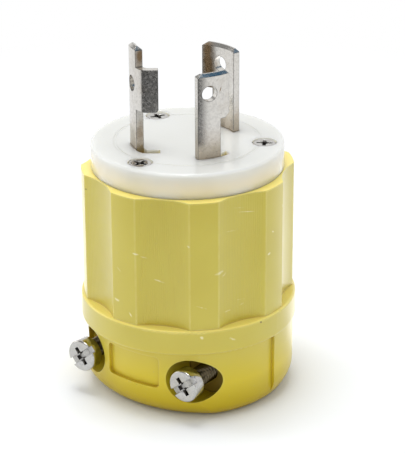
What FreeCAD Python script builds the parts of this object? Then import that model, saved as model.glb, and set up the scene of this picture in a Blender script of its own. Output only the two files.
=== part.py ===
import FreeCAD, Part
import math
import operator
import os

import Sketcher
from FreeCAD import Placement, Rotation, Vector

# Locking power plug, in millimetres.
# The plug stands on its cord end: +Z runs along its axis, and the blades point up.
# The origin is the centre of the flat ring that it stands on.
# -Y is the side with the clamp screws, and angles turn from +X towards +Y.

SHEET = "Sizes"

DRIVING_SIZES = (
    # Levels of the housing, from the floor up
    ("chamber_floor", 3.0, "underside of the cord clamp's chamber"),
    ("band_bottom", 15.5, "lower edge of the plain band"),
    ("deck_level", 16.5, "floor of the wiring space, over the clamp's chamber"),
    ("band_top", 20.8, "upper edge of the plain band"),
    ("seat_level", 30.0, "tops of the three screw bosses"),
    ("rim_level", 48.4, "top of the fluted barrel"),
    # Housing
    ("band_radius", 22.5, "plain band, the widest place"),
    ("band_round", 0.5, "rounding of the band's edges"),
    ("land_step", 0.6, "lands between the flutes, inside the band"),
    ("land_round", 0.3, "rounding of the lands' long edges"),
    ("land_half_angle", 7.8, "half of a land, seen from the axis"),
    ("flute_count", 8, "flutes around the barrel"),
    ("flute_depth", 1.75, "depth of a flute at its middle"),
    ("barrel_wall", 2.35, "wall at the middle of a flute"),
    ("side_step", 1.2, "front half of the lower housing, inside the band"),
    ("side_round", 3.5, "rounding under the front half"),
    ("back_step", 0.5, "back half of the lower housing, inside the band"),
    ("back_round", 5.2, "rounding under the back half"),
    ("front_step", 1.4, "bowed front, inside the front half's round"),
    ("front_arc_radius", 27.0, "slightly bowed front of the lower housing"),
    ("front_round", 4.5, "rounding under the bowed front"),
    # Bare panel on the front
    ("panel_half_width", 6.45, "half of the recessed panel"),
    ("panel_bottom", 6.5, "lower edge of the panel"),
    ("panel_top", 13.4, "upper edge of the panel"),
    ("panel_depth", 0.75, "depth of the panel"),
    ("panel_corner", 0.9, "corner rounding of the panel"),
    # Cord clamp
    ("clamp_level", 8.85, "height of the clamp screws"),
    ("chamber_wall", 4.3, "side wall of the clamp's chamber, to the front half's round"),
    ("clamp_inset", 4.25, "clamp screws from the chamber's sides"),
    ("pocket_radius", 4.8, "screw pockets in the front"),
    ("chamber_front", 10.4, "front wall of the chamber beside its bay"),
    ("chamber_back", 11.4, "back wall of the chamber"),
    ("bay_wall", 0.9, "between the moving jaw's bay and a screw pocket"),
    ("bay_front", 14.2, "front wall of the bay"),
    ("jaw_height", 11.0, "height of both jaws"),
    ("jaw_gap", 0.2, "clearance around a jaw"),
    ("jaw_lift", 0.1, "moving jaw over the chamber's floor"),
    ("ear_thickness", 3.5, "ears of the moving jaw"),
    ("fixed_jaw_front", -1.8, "front face of the fixed jaw"),
    ("mouth_inset", 4.25, "round mouths of the jaws, from the clamp screws' middles"),
    ("cord_step", 0.5, "cord hole, wider than the mouths"),
    ("rib_height", 1.0, "gripping ribs in the mouths"),
    ("rib_thickness", 1.4, "thickness of a rib"),
    ("mouth_grooves", 3, "grooves of a mouth, with ribs left between them"),
    ("tip_room", 0.5, "free space behind a screw tip"),
    # Clamp screws and nuts
    ("clamp_head_radius", 3.4, "head of a clamp screw"),
    ("clamp_head_height", 2.7, "height of that head"),
    ("clamp_head_round", 0.35, "rounding of that head"),
    ("clamp_seat_left", -17.95, "underside of the left head, backed out"),
    ("clamp_seat_right", -16.7, "underside of the right head, backed out"),
    ("clamp_home", -5.5, "underside of a head that is screwed in"),
    ("clamp_shank_radius", 2.08, "shank of a clamp screw"),
    ("clamp_shank_length", 19.0, "shank under the head"),
    ("clamp_slot_width", 1.5, "slot of the head"),
    ("clamp_slot_depth", 0.9, "depth of the slot"),
    ("clamp_slot_angle", 39.0, "turn of the slot, seen from the front"),
    ("clamp_cross_reach", 2.05, "cross recess, from its middle"),
    ("clamp_cross_width", 0.95, "arm of the cross recess"),
    ("clamp_cross_depth", 1.6, "depth of the cross recess"),
    ("nut_width", 6.4, "square nut across its flats"),
    ("nut_thickness", 2.6, "thickness of a nut"),
    ("nut_wall", 0.8, "fixed jaw in front of a nut"),
    ("nut_gap", 0.1, "clearance around a nut"),
    ("running_gap", 0.05, "clearance around a turning shank"),
    # White face
    ("face_proud", 5.3, "face over the rim"),
    ("face_step", 0.3, "face disc, inside the flutes"),
    ("face_round", 0.6, "rounding of the disc's edge"),
    ("spigot_gap", 0.2, "clearance of the face's round foot in the barrel"),
    ("spigot_depth", 4.0, "length of that foot"),
    ("ring_inset", 1.1, "ring groove in the face, inside the screws' circle"),
    ("ring_width", 0.5, "width of the ring groove"),
    ("ring_depth", 0.06, "depth of the ring groove"),
    # Assembly screws
    ("assembly_inset", 4.05, "screws from the edge of the face"),
    ("assembly_count", 3, "screws around the face"),
    ("assembly_start", 270.0, "angle of the front screw"),
    ("assembly_head_radius", 2.35, "head of an assembly screw"),
    ("assembly_head_height", 1.5, "height of that head"),
    ("assembly_head_round", 0.25, "rounding of that head"),
    ("assembly_cross_reach", 1.6, "its cross recess, from the middle"),
    ("assembly_cross_width", 0.67, "arm of its cross recess"),
    ("assembly_cross_depth", 1.05, "depth of its cross recess"),
    ("assembly_shank_radius", 1.5, "shank of an assembly screw"),
    ("assembly_shank_length", 27.5, "shank under the head"),
    ("assembly_hole_radius", 1.75, "clearance hole"),
    ("assembly_seat_depth", 1.65, "head's seat in the face"),
    ("assembly_seat_gap", 0.2, "clearance around a head"),
    ("boss_radius", 3.3, "screw bosses in the barrel"),
    ("insert_radius", 2.4, "threaded insert"),
    ("insert_length", 6.0, "length of an insert"),
    ("insert_groove", 0.3, "depth of the groove around an insert"),
    ("tip_hole_depth", 9.5, "hole for a screw's tip, from the boss top"),
    # Blades
    ("blade_inset", 6.0, "outside of the curved blades, from the barrel's bore"),
    ("blade_thickness", 1.5, "sheet of the blades"),
    ("blade_reach", 17.7, "line blades over the face"),
    ("ground_reach", 21.6, "ground blade over the face"),
    ("tab_level", 8.0, "locking tabs over the face"),
    ("tab_width", 2.1, "tab beside the neck"),
    ("tab_bevel", 0.9, "bevel under a tab"),
    ("tip_bevel", 0.75, "cut corners of a blade's tip"),
    ("tip_flat", 0.3, "flat between the two bevels along a blade's tip"),
    ("front_blade_angle", 328.9, "front line blade"),
    ("front_blade_half_width", 2.45, "neck of the front line blade"),
    ("back_blade_angle", 77.7, "back line blade"),
    ("back_blade_half_width", 3.23, "neck of the back line blade"),
    ("back_hole_shift", 1.28, "hole of the back line blade, towards its tab"),
    ("ground_angle", 236.0, "ground blade"),
    ("ground_half_width", 2.08, "ground blade"),
    ("blade_hole_radius", 1.6, "holes near the tips"),
    ("blade_hole_level", 13.6, "those holes over the face"),
    ("hook_bottom", 8.55, "lower end of the ground blade's hook over the face"),
    ("hook_top", 17.45, "top of that hook over the face"),
    ("hook_start", 9.0, "start of the hook inside the blade, in degrees from the blade's middle"),
    ("hook_bend_angle", 15.0, "start of the hook's bend, in degrees from the blade's middle"),
    ("hook_bend_radius", 1.6, "middle of the hook's bend"),
    ("hook_turn", 57.5, "turn of the hook's bend"),
    ("hook_length", 2.0, "straight end of the hook"),
    ("hook_round", 0.7, "rounded lower corner of the hook"),
    ("shoulder_width", 1.0, "shoulders held under the face, beside the slots"),
    ("shoulder_height", 2.0, "height of the shoulder"),
    ("leg_bottom", 32.4, "lower end of the blades"),
    ("slot_gap", 0.1, "clearance around a blade"),
    ("hook_gap", 0.25, "clearance around the hook in its slot"),
    # Terminals
    ("block_gap", 0.5, "clearance of the terminal block in the barrel"),
    ("terminal_level", 36.0, "height of the terminal screws"),
    ("notch_half_width", 4.0, "terminal's notch in the block"),
    ("notch_height", 10.6, "height of the notch"),
    ("wire_gap", 1.2, "room for a wire between plate and blade"),
    ("plate_width", 7.0, "pressure plate"),
    ("plate_thickness", 1.2, "thickness of a pressure plate"),
    ("plate_corner", 0.7, "cut corners of a pressure plate"),
    ("terminal_head_radius", 3.0, "head of a terminal screw"),
    ("terminal_head_height", 1.9, "height of that head"),
    ("terminal_head_round", 0.38, "rounding of that head"),
    ("terminal_cross_reach", 1.8, "its cross recess, from the middle"),
    ("terminal_cross_width", 0.72, "arm of its cross recess"),
    ("terminal_cross_depth", 1.15, "depth of its cross recess"),
    ("terminal_shank_radius", 1.75, "shank of a terminal screw"),
    ("terminal_shank_length", 6.2, "shank under the head"),
    ("terminal_hole_radius", 2.1, "screw's way into the block"),
)

LEFT = 1
RIGHT = -1

doc = FreeCAD.newDocument("LockingPowerPlug")
sheet = doc.addObject("Spreadsheet::Sheet", SHEET)
parts = []


class Size:
    """A size that keeps its value together with its formula in the sheet."""

    def __init__(self, value, formula):
        self.value = value
        self.formula = formula

    def __add__(self, other):
        return joined(self, "+", other)

    def __radd__(self, other):
        return joined(other, "+", self)

    def __sub__(self, other):
        return joined(self, "-", other)

    def __rsub__(self, other):
        return joined(other, "-", self)

    def __mul__(self, other):
        return joined(self, "*", other)

    def __rmul__(self, other):
        return joined(other, "*", self)

    def __truediv__(self, other):
        return joined(self, "/", other)

    def __rtruediv__(self, other):
        return joined(other, "/", self)

    def __neg__(self):
        return joined(0, "-", self)


OPERATIONS = {"+": operator.add, "-": operator.sub, "*": operator.mul, "/": operator.truediv}


def as_size(item):
    """A size as it is, and a plain number as a size of its own."""
    if isinstance(item, Size):
        return item
    return Size(float(item), "({:.9g})".format(item))


def joined(first, sign, second):
    """Two sizes joined by a sign, in value and in formula."""
    first = as_size(first)
    second = as_size(second)
    value = OPERATIONS[sign](first.value, second.value)
    return Size(value, "({} {} {})".format(first.formula, sign, second.formula))


def cosine(angle):
    """Cosine of an angle in degrees."""
    angle = as_size(angle)
    return Size(math.cos(math.radians(angle.value)), "cos({})".format(angle.formula))


def sine(angle):
    """Sine of an angle in degrees."""
    angle = as_size(angle)
    return Size(math.sin(math.radians(angle.value)), "sin({})".format(angle.formula))


def arcsine(ratio):
    """Angle in degrees whose sine is the ratio."""
    return Size(math.degrees(math.asin(ratio.value)), "asin({})".format(ratio.formula))


def root(item):
    """Square root."""
    return Size(math.sqrt(item.value), "sqrt({})".format(item.formula))


def at_angle(radius, angle):
    """Point at a radius and an angle, as x and y."""
    return radius * cosine(angle), radius * sine(angle)


def moved(point, radius, angle):
    """A point moved by a distance in the direction of an angle."""
    step = at_angle(radius, angle)
    return point[0] + step[0], point[1] + step[1]


def fill_sheet():
    """Write the driving sizes to the sheet and return them by name."""
    sizes = {}
    for row, (name, value, meaning) in enumerate(DRIVING_SIZES, start=1):
        sheet.set("A{}".format(row), meaning)
        sheet.set("B{}".format(row), str(value))
        sheet.setAlias("B{}".format(row), name)
        sizes[name] = Size(float(value), "{}.{}".format(SHEET, name))
    doc.recompute()
    return sizes


S = fill_sheet()


# Sizes that follow from the driving ones: the band's radius leads to all the others

land_radius = S["band_radius"] - S["land_step"]
flute_radius = land_radius - S["flute_depth"]
bore_radius = flute_radius - S["barrel_wall"]
side_radius = S["band_radius"] - S["side_step"]
back_radius = S["band_radius"] - S["back_step"]
front_arc_centre = S["front_arc_radius"] - side_radius + S["front_step"]

chamber_half_width = side_radius - S["chamber_wall"]
clamp_spread = chamber_half_width - S["clamp_inset"]
bay_half_width = clamp_spread - S["pocket_radius"] - S["bay_wall"]
mouth_radius = clamp_spread - S["mouth_inset"]
cord_radius = mouth_radius + S["cord_step"]
moving_jaw_front = S["jaw_gap"] - S["chamber_front"]
moving_jaw_back = moving_jaw_front + S["ear_thickness"]
nut_front = S["fixed_jaw_front"] + S["nut_wall"] + S["nut_gap"]
shank_hole_radius = S["clamp_shank_radius"] + S["running_gap"]
tip_hole_radius = S["clamp_shank_radius"] + S["jaw_gap"]
tip_hole_end = S["clamp_home"] + S["clamp_shank_length"] + S["tip_room"]

face_top = S["rim_level"] + S["face_proud"]
face_under = S["rim_level"] - S["spigot_depth"]
face_radius = flute_radius - S["face_step"]
assembly_circle = face_radius - S["assembly_inset"]
ring_radius = assembly_circle - S["ring_inset"]
block_radius = bore_radius - S["block_gap"]
blade_outer_radius = bore_radius - S["blade_inset"]
blade_inner_radius = blade_outer_radius - S["blade_thickness"]
plate_inner = blade_outer_radius + S["wire_gap"]
plate_outer = plate_inner + S["plate_thickness"]

# Angle at which a blade's middle lies in its own frame
BLADE_MIDDLE = 270.0

hook_bend_start = BLADE_MIDDLE + S["hook_bend_angle"]

# Reach of a cut past the outside of what it cuts
OUTSIDE = 3.0

# How far a corner may lie from where it is looked for
NEAR = 0.01

# Turn of the bowed front's cut, wide enough to pass the sides of the housing
FRONT_TURN = 150.0

# Tip bevel of a screw, as a share of its shank's radius
TIP_SHARE = 0.25

# Middle of a cross recess, as a share of its reach
CORE_SHARE = 0.45


def bind(thing, prop, size):
    """Tie a property to its formula in the sheet."""
    thing.setExpression(prop, as_size(size).formula)


def new_body(label):
    """Start a named piece."""
    body = doc.addObject("PartDesign::Body", label)
    body.Label = label
    parts.append(body)
    return body


def place(piece, x=0, y=0, z=0, turn=0):
    """Put a piece at a point, turned about the vertical."""
    bind(piece, "Placement.Base.x", x)
    bind(piece, "Placement.Base.y", y)
    bind(piece, "Placement.Base.z", z)
    bind(piece, "Placement.Rotation.Angle", turn)


def attached_sketch(body, name, role):
    """Empty sketch on one of a body's origin planes."""
    sketch = body.newObject("Sketcher::SketchObject", name)
    for plane in body.Origin.OriginFeatures:
        if plane.Role == role:
            sketch.AttachmentSupport = [(plane, "")]
    sketch.MapMode = "FlatFace"
    return sketch


def new_sketch(body, name, role="XY_Plane", level=0, along=0, turn=0):
    """Sketch on an origin plane, raised by a level, shifted along its own x and turned."""
    sketch = attached_sketch(body, name, role)
    bind(sketch, "AttachmentOffset.Base.z", level)
    bind(sketch, "AttachmentOffset.Base.x", along)
    bind(sketch, "AttachmentOffset.Rotation.Angle", turn)
    return sketch


def fix_point(sketch, line, end, point):
    """Hold one point of a line at its two distances from the sketch's origin."""
    for kind, size in (("DistanceX", as_size(point[0])), ("DistanceY", as_size(point[1]))):
        index = sketch.addConstraint(Sketcher.Constraint(kind, -1, 1, line, end, size.value))
        sketch.setExpression("Constraints[{}]".format(index), size.formula)


def fix_radius(sketch, curve, radius):
    """Hold the radius of a circle or an arc."""
    index = sketch.addConstraint(Sketcher.Constraint("Radius", curve, radius.value))
    sketch.setExpression("Constraints[{}]".format(index), radius.formula)


def flat(point):
    """Point of a sketch as a vector."""
    return Vector(as_size(point[0]).value, as_size(point[1]).value, 0)


def add_arc(sketch, start, end, radius, side):
    """Arc shorter than half a turn, with its centre to the left or right of the way along it."""
    chord = end - start
    height = math.sqrt(radius.value ** 2 - chord.Length ** 2 / 4)
    normal = Vector(-chord.y, chord.x, 0).normalize()
    centre = (start + end) * 0.5 + normal * height * side
    first = start if side == LEFT else end
    last = end if side == LEFT else start
    begin = math.atan2(first.y - centre.y, first.x - centre.x)
    finish = math.atan2(last.y - centre.y, last.x - centre.x)
    circle = Part.Circle(centre, Vector(0, 0, 1), radius.value)
    return sketch.addGeometry(Part.ArcOfCircle(circle, begin, finish))


def outline(sketch, corners, arcs=None):
    """Closed line through the corners; arcs maps a side's number to its radius and turn."""
    arcs = arcs or {}
    sides = []
    for number, corner in enumerate(corners):
        start = flat(corner)
        end = flat(corners[(number + 1) % len(corners)])
        if number in arcs:
            radius, side = arcs[number]
            line = add_arc(sketch, start, end, as_size(radius), side)
            ends = (1, 2) if side == LEFT else (2, 1)
            sides.append((line, *ends))
        else:
            line = sketch.addGeometry(Part.LineSegment(start, end))
            sides.append((line, 1, 2))
    for number, (line, first, last) in enumerate(sides):
        following, next_first, _ = sides[(number + 1) % len(sides)]
        joint = Sketcher.Constraint("Coincident", line, last, following, next_first)
        sketch.addConstraint(joint)
        fix_point(sketch, line, first, corners[number])
    for number, (radius, _) in arcs.items():
        fix_radius(sketch, sides[number][0], as_size(radius))


def rectangle(sketch, low_x, low_y, high_x, high_y):
    """Rectangle between two corners."""
    outline(sketch, [(low_x, low_y), (high_x, low_y), (high_x, high_y), (low_x, high_y)])


def circle(sketch, centre, radius):
    """Circle about a point."""
    radius = as_size(radius)
    line = sketch.addGeometry(Part.Circle(flat(centre), Vector(0, 0, 1), radius.value))
    fix_point(sketch, line, 3, centre)
    fix_radius(sketch, line, radius)


def feature_of(body, kind, name, sketch):
    """New feature of a body from one of its sketches."""
    feature = body.newObject("PartDesign::{}".format(kind), name)
    feature.Profile = sketch
    feature.Refine = True
    body.Tip = feature
    return feature


def pad(body, name, sketch, length):
    """Pad along the sketch's normal."""
    feature = feature_of(body, "Pad", name, sketch)
    bind(feature, "Length", length)
    return feature


def pocket(body, name, sketch, depth, ahead=False):
    """Pocket against the sketch's normal, or ahead along it."""
    feature = feature_of(body, "Pocket", name, sketch)
    feature.Reversed = ahead
    bind(feature, "Length", depth)
    return feature


def revolution(body, name, sketch, angle=360):
    """Solid turned about the sketch's upright axis."""
    feature = feature_of(body, "Revolution", name, sketch)
    feature.ReferenceAxis = (sketch, ["V_Axis"])
    bind(feature, "Angle", angle)
    return feature


def groove(body, name, sketch, angle):
    """Cut turned about the sketch's upright axis, equally to both sides of its plane."""
    feature = feature_of(body, "Groove", name, sketch)
    feature.ReferenceAxis = (sketch, ["V_Axis"])
    feature.Midplane = True
    bind(feature, "Angle", angle)
    return feature


def around(body, name, sketch, originals, count):
    """Copies of features, evenly around the sketch's normal."""
    pattern = body.newObject("PartDesign::PolarPattern", name)
    pattern.Originals = originals
    pattern.Axis = (sketch, ["N_Axis"])
    pattern.Angle = 360
    pattern.Refine = True
    bind(pattern, "Occurrences", count)
    body.Tip = pattern
    return pattern


def edges_where(shape, wanted):
    """Edges whose two end points both pass a test, with their numbers."""
    found = []
    for number, edge in enumerate(shape.Edges, start=1):
        points = [vertex.Point for vertex in edge.Vertexes]
        if len(points) == 2 and all(wanted(point) for point in points):
            found.append((number, edge))
    return found


def dress(body, kind, name, base, edges, size):
    """Fillet or chamfer of some edges of a feature."""
    feature = body.newObject("PartDesign::{}".format(kind), name)
    feature.Base = (base, ["Edge{}".format(number) for number, _ in edges])
    bind(feature, "Radius" if kind == "Fillet" else "Size", size)
    body.Tip = feature
    return feature


# Housing


def cut_flutes(body):
    """Shallow round flutes between plain lands, from the rim down to the band."""
    half_pitch = 180 / S["flute_count"]
    half_flute = half_pitch - S["land_half_angle"]
    half_chord = land_radius * sine(half_flute)
    sag = land_radius * cosine(half_flute) - flute_radius
    radius = (half_chord * half_chord + sag * sag) / (2 * sag)
    centre = at_angle(flute_radius + radius, S["assembly_start"] + half_pitch)
    sketch = new_sketch(body, "FluteCutter", level=S["rim_level"])
    circle(sketch, centre, radius)
    flute = pocket(body, "Flute", sketch, S["rim_level"] - S["band_top"])
    return around(body, "Flutes", sketch, [flute], S["flute_count"])


def round_lands(body, flutes):
    """Small roundings of the long edges between lands and flutes."""
    doc.recompute()
    length = S["rim_level"].value - S["band_top"].value

    def on_land(point):
        on_barrel = S["band_top"].value - NEAR < point.z < S["rim_level"].value + NEAR
        return on_barrel and abs(math.hypot(point.x, point.y) - land_radius.value) < NEAR

    long_edges = []
    for number, edge in edges_where(flutes.Shape, on_land):
        if abs(edge.Length - length) < NEAR:
            long_edges.append((number, edge))
    dress(body, "Fillet", "LandEdges", flutes, long_edges, S["land_round"])


def shape_front(body):
    """Bowed front of the lower housing, rounded under, with its bare panel."""
    reach = S["front_arc_radius"]
    sketch = new_sketch(body, "FrontProfile", "YZ_Plane", along=front_arc_centre)
    outline(sketch, [
        (-(reach + OUTSIDE), S["band_bottom"]),
        (-reach, S["band_bottom"]),
        (-reach, S["front_round"]),
        (S["front_round"] - reach, 0),
        (S["front_round"] - reach, -OUTSIDE),
        (-(reach + OUTSIDE), -OUTSIDE),
    ], {2: (S["front_round"], LEFT)})
    groove(body, "BowedFront", sketch, FRONT_TURN)
    sketch = new_sketch(body, "PanelProfile", "YZ_Plane", along=front_arc_centre)
    rectangle(sketch, -(reach + OUTSIDE), S["panel_bottom"], S["panel_depth"] - reach, S["panel_top"])
    return groove(body, "Panel", sketch, 2 * arcsine(S["panel_half_width"] / reach))


def round_panel_corners(body, panel):
    """Small roundings in the four corners of the bare panel."""
    doc.recompute()
    front = front_arc_centre.value - S["front_arc_radius"].value
    levels = (S["panel_bottom"].value, S["panel_top"].value)

    def on_corner(point):
        on_level = min(abs(point.z - level) for level in levels) < NEAR
        on_panel = abs(point.x) < S["panel_half_width"].value + S["panel_corner"].value
        return on_level and on_panel and point.y < front + OUTSIDE

    corners = []
    for number, edge in edges_where(panel.Shape, on_corner):
        if edge.Length < 2 * S["panel_depth"].value:
            corners.append((number, edge))
    dress(body, "Fillet", "PanelCorners", panel, corners, S["panel_corner"])


def cut_clamp_chamber(body):
    """Room for the two jaws, with the screw pockets in front and tip holes behind."""
    sketch = new_sketch(body, "ChamberOutline", level=S["deck_level"])
    width = chamber_half_width
    bay = bay_half_width
    outline(sketch, [
        (-width, -S["chamber_front"]),
        (-bay, -S["chamber_front"]),
        (-bay, -S["bay_front"]),
        (bay, -S["bay_front"]),
        (bay, -S["chamber_front"]),
        (width, -S["chamber_front"]),
        (width, S["chamber_back"]),
        (-width, S["chamber_back"]),
    ])
    pocket(body, "ClampChamber", sketch, S["deck_level"] - S["chamber_floor"])
    ahead = S["band_radius"] + OUTSIDE
    sketch = new_sketch(body, "PocketCircles", "XZ_Plane", level=ahead)
    for side in (-1, 1):
        circle(sketch, (side * clamp_spread, S["clamp_level"]), S["pocket_radius"])
    pocket(body, "ScrewPockets", sketch, ahead - S["chamber_front"])
    sketch = new_sketch(body, "TipCircles", "XZ_Plane", level=-S["chamber_back"])
    for side in (-1, 1):
        circle(sketch, (side * clamp_spread, S["clamp_level"]), tip_hole_radius)
    pocket(body, "TipHoles", sketch, tip_hole_end - S["chamber_back"])


def add_bosses(body):
    """Three bosses with holes for the threaded inserts and the screw tips."""
    middle = at_angle(assembly_circle, S["assembly_start"])
    sketch = new_sketch(body, "BossCircle", level=S["deck_level"])
    circle(sketch, middle, S["boss_radius"])
    boss = pad(body, "Boss", sketch, S["seat_level"] - S["deck_level"])
    seat = new_sketch(body, "InsertCircle", level=S["seat_level"])
    circle(seat, middle, S["insert_radius"])
    insert_hole = pocket(body, "InsertHole", seat, S["insert_length"])
    way = new_sketch(body, "TipHoleCircle", level=S["seat_level"])
    circle(way, middle, S["assembly_hole_radius"])
    tip_hole = pocket(body, "ScrewTipHole", way, S["tip_hole_depth"])
    around(body, "Bosses", seat, [boss, insert_hole, tip_hole], S["assembly_count"])


def make_shell():
    """Yellow housing: fluted barrel, band and rounded lower part, moulded as one piece."""
    body = new_body("shell")
    sketch = new_sketch(body, "HousingProfile", "XZ_Plane")
    band = S["band_radius"]
    edge = S["band_round"]
    outline(sketch, [
        (cord_radius, 0),
        (side_radius - S["side_round"], 0),
        (side_radius, S["side_round"]),
        (side_radius, S["band_bottom"]),
        (band - edge, S["band_bottom"]),
        (band, S["band_bottom"] + edge),
        (band, S["band_top"] - edge),
        (band - edge, S["band_top"]),
        (land_radius, S["band_top"]),
        (land_radius, S["rim_level"]),
        (bore_radius, S["rim_level"]),
        (bore_radius, S["deck_level"]),
        (cord_radius, S["deck_level"]),
    ], {1: (S["side_round"], LEFT), 4: (edge, LEFT), 6: (edge, LEFT)})
    revolution(body, "Housing", sketch)
    sketch = new_sketch(body, "BackProfile", "XZ_Plane")
    inner = (cord_radius + side_radius) / 2
    outline(sketch, [
        (inner, 0),
        (back_radius - S["back_round"], 0),
        (back_radius, S["back_round"]),
        (back_radius, S["band_bottom"]),
        (inner, S["band_bottom"]),
    ], {1: (S["back_round"], LEFT)})
    revolution(body, "BackHalf", sketch, 180)
    panel = shape_front(body)
    round_panel_corners(body, panel)
    flutes = cut_flutes(body)
    round_lands(body, flutes)
    cut_clamp_chamber(body)
    add_bosses(body)


# Cord clamp


def cut_mouth(body, middle, level, height):
    """Round mouth of a jaw, with ribs left between its grooves."""
    sketch = new_sketch(body, "MouthCircle", level=level + height)
    circle(sketch, (0, middle), mouth_radius - S["rib_height"])
    pocket(body, "Mouth", sketch, height)
    ribs = S["mouth_grooves"] - 1
    groove_height = (height - ribs * S["rib_thickness"]) / S["mouth_grooves"]
    sketch = new_sketch(body, "GrooveCircle", level=level + height)
    circle(sketch, (0, middle), mouth_radius)
    first = pocket(body, "MouthGroove", sketch, groove_height)
    pattern = body.newObject("PartDesign::LinearPattern", "MouthGrooves")
    pattern.Originals = [first]
    pattern.Direction = (sketch, ["N_Axis"])
    pattern.Reversed = True
    pattern.Refine = True
    bind(pattern, "Length", height - groove_height)
    bind(pattern, "Occurrences", S["mouth_grooves"])
    body.Tip = pattern


def make_moving_jaw():
    """Front jaw, which the clamp screws push towards the cord."""
    body = new_body("clamp_jaw_front")
    bottom = S["chamber_floor"] + S["jaw_lift"]
    width = chamber_half_width - S["jaw_gap"]
    bay = bay_half_width - S["jaw_gap"]
    bay_front = S["jaw_gap"] - S["bay_front"]
    sketch = new_sketch(body, "JawOutline", level=bottom)
    outline(sketch, [
        (-width, moving_jaw_front),
        (-bay, moving_jaw_front),
        (-bay, bay_front),
        (bay, bay_front),
        (bay, moving_jaw_front),
        (width, moving_jaw_front),
        (width, moving_jaw_back),
        (-width, moving_jaw_back),
    ])
    pad(body, "JawBar", sketch, S["jaw_height"])
    cut_mouth(body, moving_jaw_front + mouth_radius - S["jaw_gap"], bottom, S["jaw_height"])
    sketch = new_sketch(body, "ScrewCircles", "XZ_Plane", level=-moving_jaw_front)
    for side in (-1, 1):
        circle(sketch, (side * clamp_spread, S["clamp_level"]), shank_hole_radius)
    pocket(body, "ScrewHoles", sketch, S["ear_thickness"])


def make_fixed_jaw():
    """Back jaw, which stands against the chamber's back wall and holds the nuts."""
    body = new_body("clamp_jaw_back")
    bottom = S["chamber_floor"]
    width = chamber_half_width - S["jaw_gap"]
    back = S["chamber_back"]
    sketch = new_sketch(body, "JawOutline", level=bottom)
    rectangle(sketch, -width, S["fixed_jaw_front"], width, back)
    pad(body, "JawBar", sketch, S["jaw_height"])
    cut_mouth(body, 0, bottom, S["jaw_height"])
    sketch = new_sketch(body, "ScrewCircles", "XZ_Plane", level=-S["fixed_jaw_front"])
    for side in (-1, 1):
        circle(sketch, (side * clamp_spread, S["clamp_level"]), tip_hole_radius)
    pocket(body, "ScrewHoles", sketch, back - S["fixed_jaw_front"])
    trap = S["nut_width"] / 2 + S["nut_gap"]
    sketch = new_sketch(body, "NutTraps", level=bottom + S["jaw_height"])
    for side in (-1, 1):
        middle = side * clamp_spread
        front = nut_front - S["nut_gap"]
        rectangle(sketch, middle - trap, front, middle + trap,
                  nut_front + S["nut_thickness"] + S["nut_gap"])
    trap_depth = bottom + S["jaw_height"] - (S["clamp_level"] - S["nut_width"] / 2)
    pocket(body, "NutSlots", sketch, trap_depth)


def make_nut(label, side):
    """Square nut: a block with the screw's hole through it."""
    block = doc.addObject("Part::Box", label + "_block")
    bind(block, "Length", S["nut_width"])
    bind(block, "Width", S["nut_thickness"])
    bind(block, "Height", S["nut_width"])
    half = S["nut_width"] / 2
    place(block, -half, 0, -half)
    drill = doc.addObject("Part::Cylinder", label + "_drill")
    bind(drill, "Radius", shank_hole_radius)
    bind(drill, "Height", S["nut_thickness"] + 2 * OUTSIDE)
    drill.Placement = Placement(Vector(0, 0, 0), Rotation(Vector(1, 0, 0), -90))
    bind(drill, "Placement.Base.y", -OUTSIDE)
    nut = doc.addObject("Part::Cut", label)
    nut.Base = block
    nut.Tool = drill
    nut.Label = label
    place(nut, side * clamp_spread, nut_front, S["clamp_level"])
    parts.append(nut)


# Screws


def screw_profile(body, head_radius, head_height, head_round, shank_radius, shank_length):
    """Turned screw: its head stands on the plane and its shank hangs under it."""
    tip = shank_radius * TIP_SHARE
    sketch = new_sketch(body, "ScrewProfile", "XZ_Plane")
    outline(sketch, [
        (0, -shank_length),
        (shank_radius - tip, -shank_length),
        (shank_radius, tip - shank_length),
        (shank_radius, 0),
        (head_radius, 0),
        (head_radius, head_height - head_round),
        (head_radius - head_round, head_height),
        (0, head_height),
    ], {5: (head_round, LEFT)})
    revolution(body, "Turned", sketch)


def cut_cross(body, level, reach, width, depth):
    """Cross recess in a screw's head, with its inner corners cut."""
    sketch = new_sketch(body, "CrossOutline", level=level)
    half = width / 2
    core = reach * CORE_SHARE
    outline(sketch, [
        (core, half), (half, core), (half, reach), (-half, reach),
        (-half, core), (-core, half), (-reach, half), (-reach, -half),
        (-core, -half), (-half, -core), (-half, -reach), (half, -reach),
        (half, -core), (core, -half), (reach, -half), (reach, half),
    ])
    pocket(body, "Cross", sketch, depth)


def make_clamp_screw(label, side, seat):
    """Clamp screw with a slot and a cross in its head."""
    body = new_body(label)
    screw_profile(body, S["clamp_head_radius"], S["clamp_head_height"], S["clamp_head_round"],
                  S["clamp_shank_radius"], S["clamp_shank_length"])
    cut_cross(body, S["clamp_head_height"], S["clamp_cross_reach"], S["clamp_cross_width"],
              S["clamp_cross_depth"])
    sketch = new_sketch(body, "SlotOutline", level=S["clamp_head_height"])
    reach = S["clamp_head_radius"] + OUTSIDE
    half = S["clamp_slot_width"] / 2
    rectangle(sketch, -reach, -half, reach, half)
    pocket(body, "Slot", sketch, S["clamp_slot_depth"])
    lying = Rotation(Vector(1, 0, 0), 90)
    spin = Rotation(Vector(0, 0, 1), S["clamp_slot_angle"].value)
    body.Placement = Placement(Vector(0, 0, 0), lying * spin)
    bind(body, "Placement.Base.x", side * clamp_spread)
    bind(body, "Placement.Base.y", seat)
    bind(body, "Placement.Base.z", S["clamp_level"])


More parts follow.
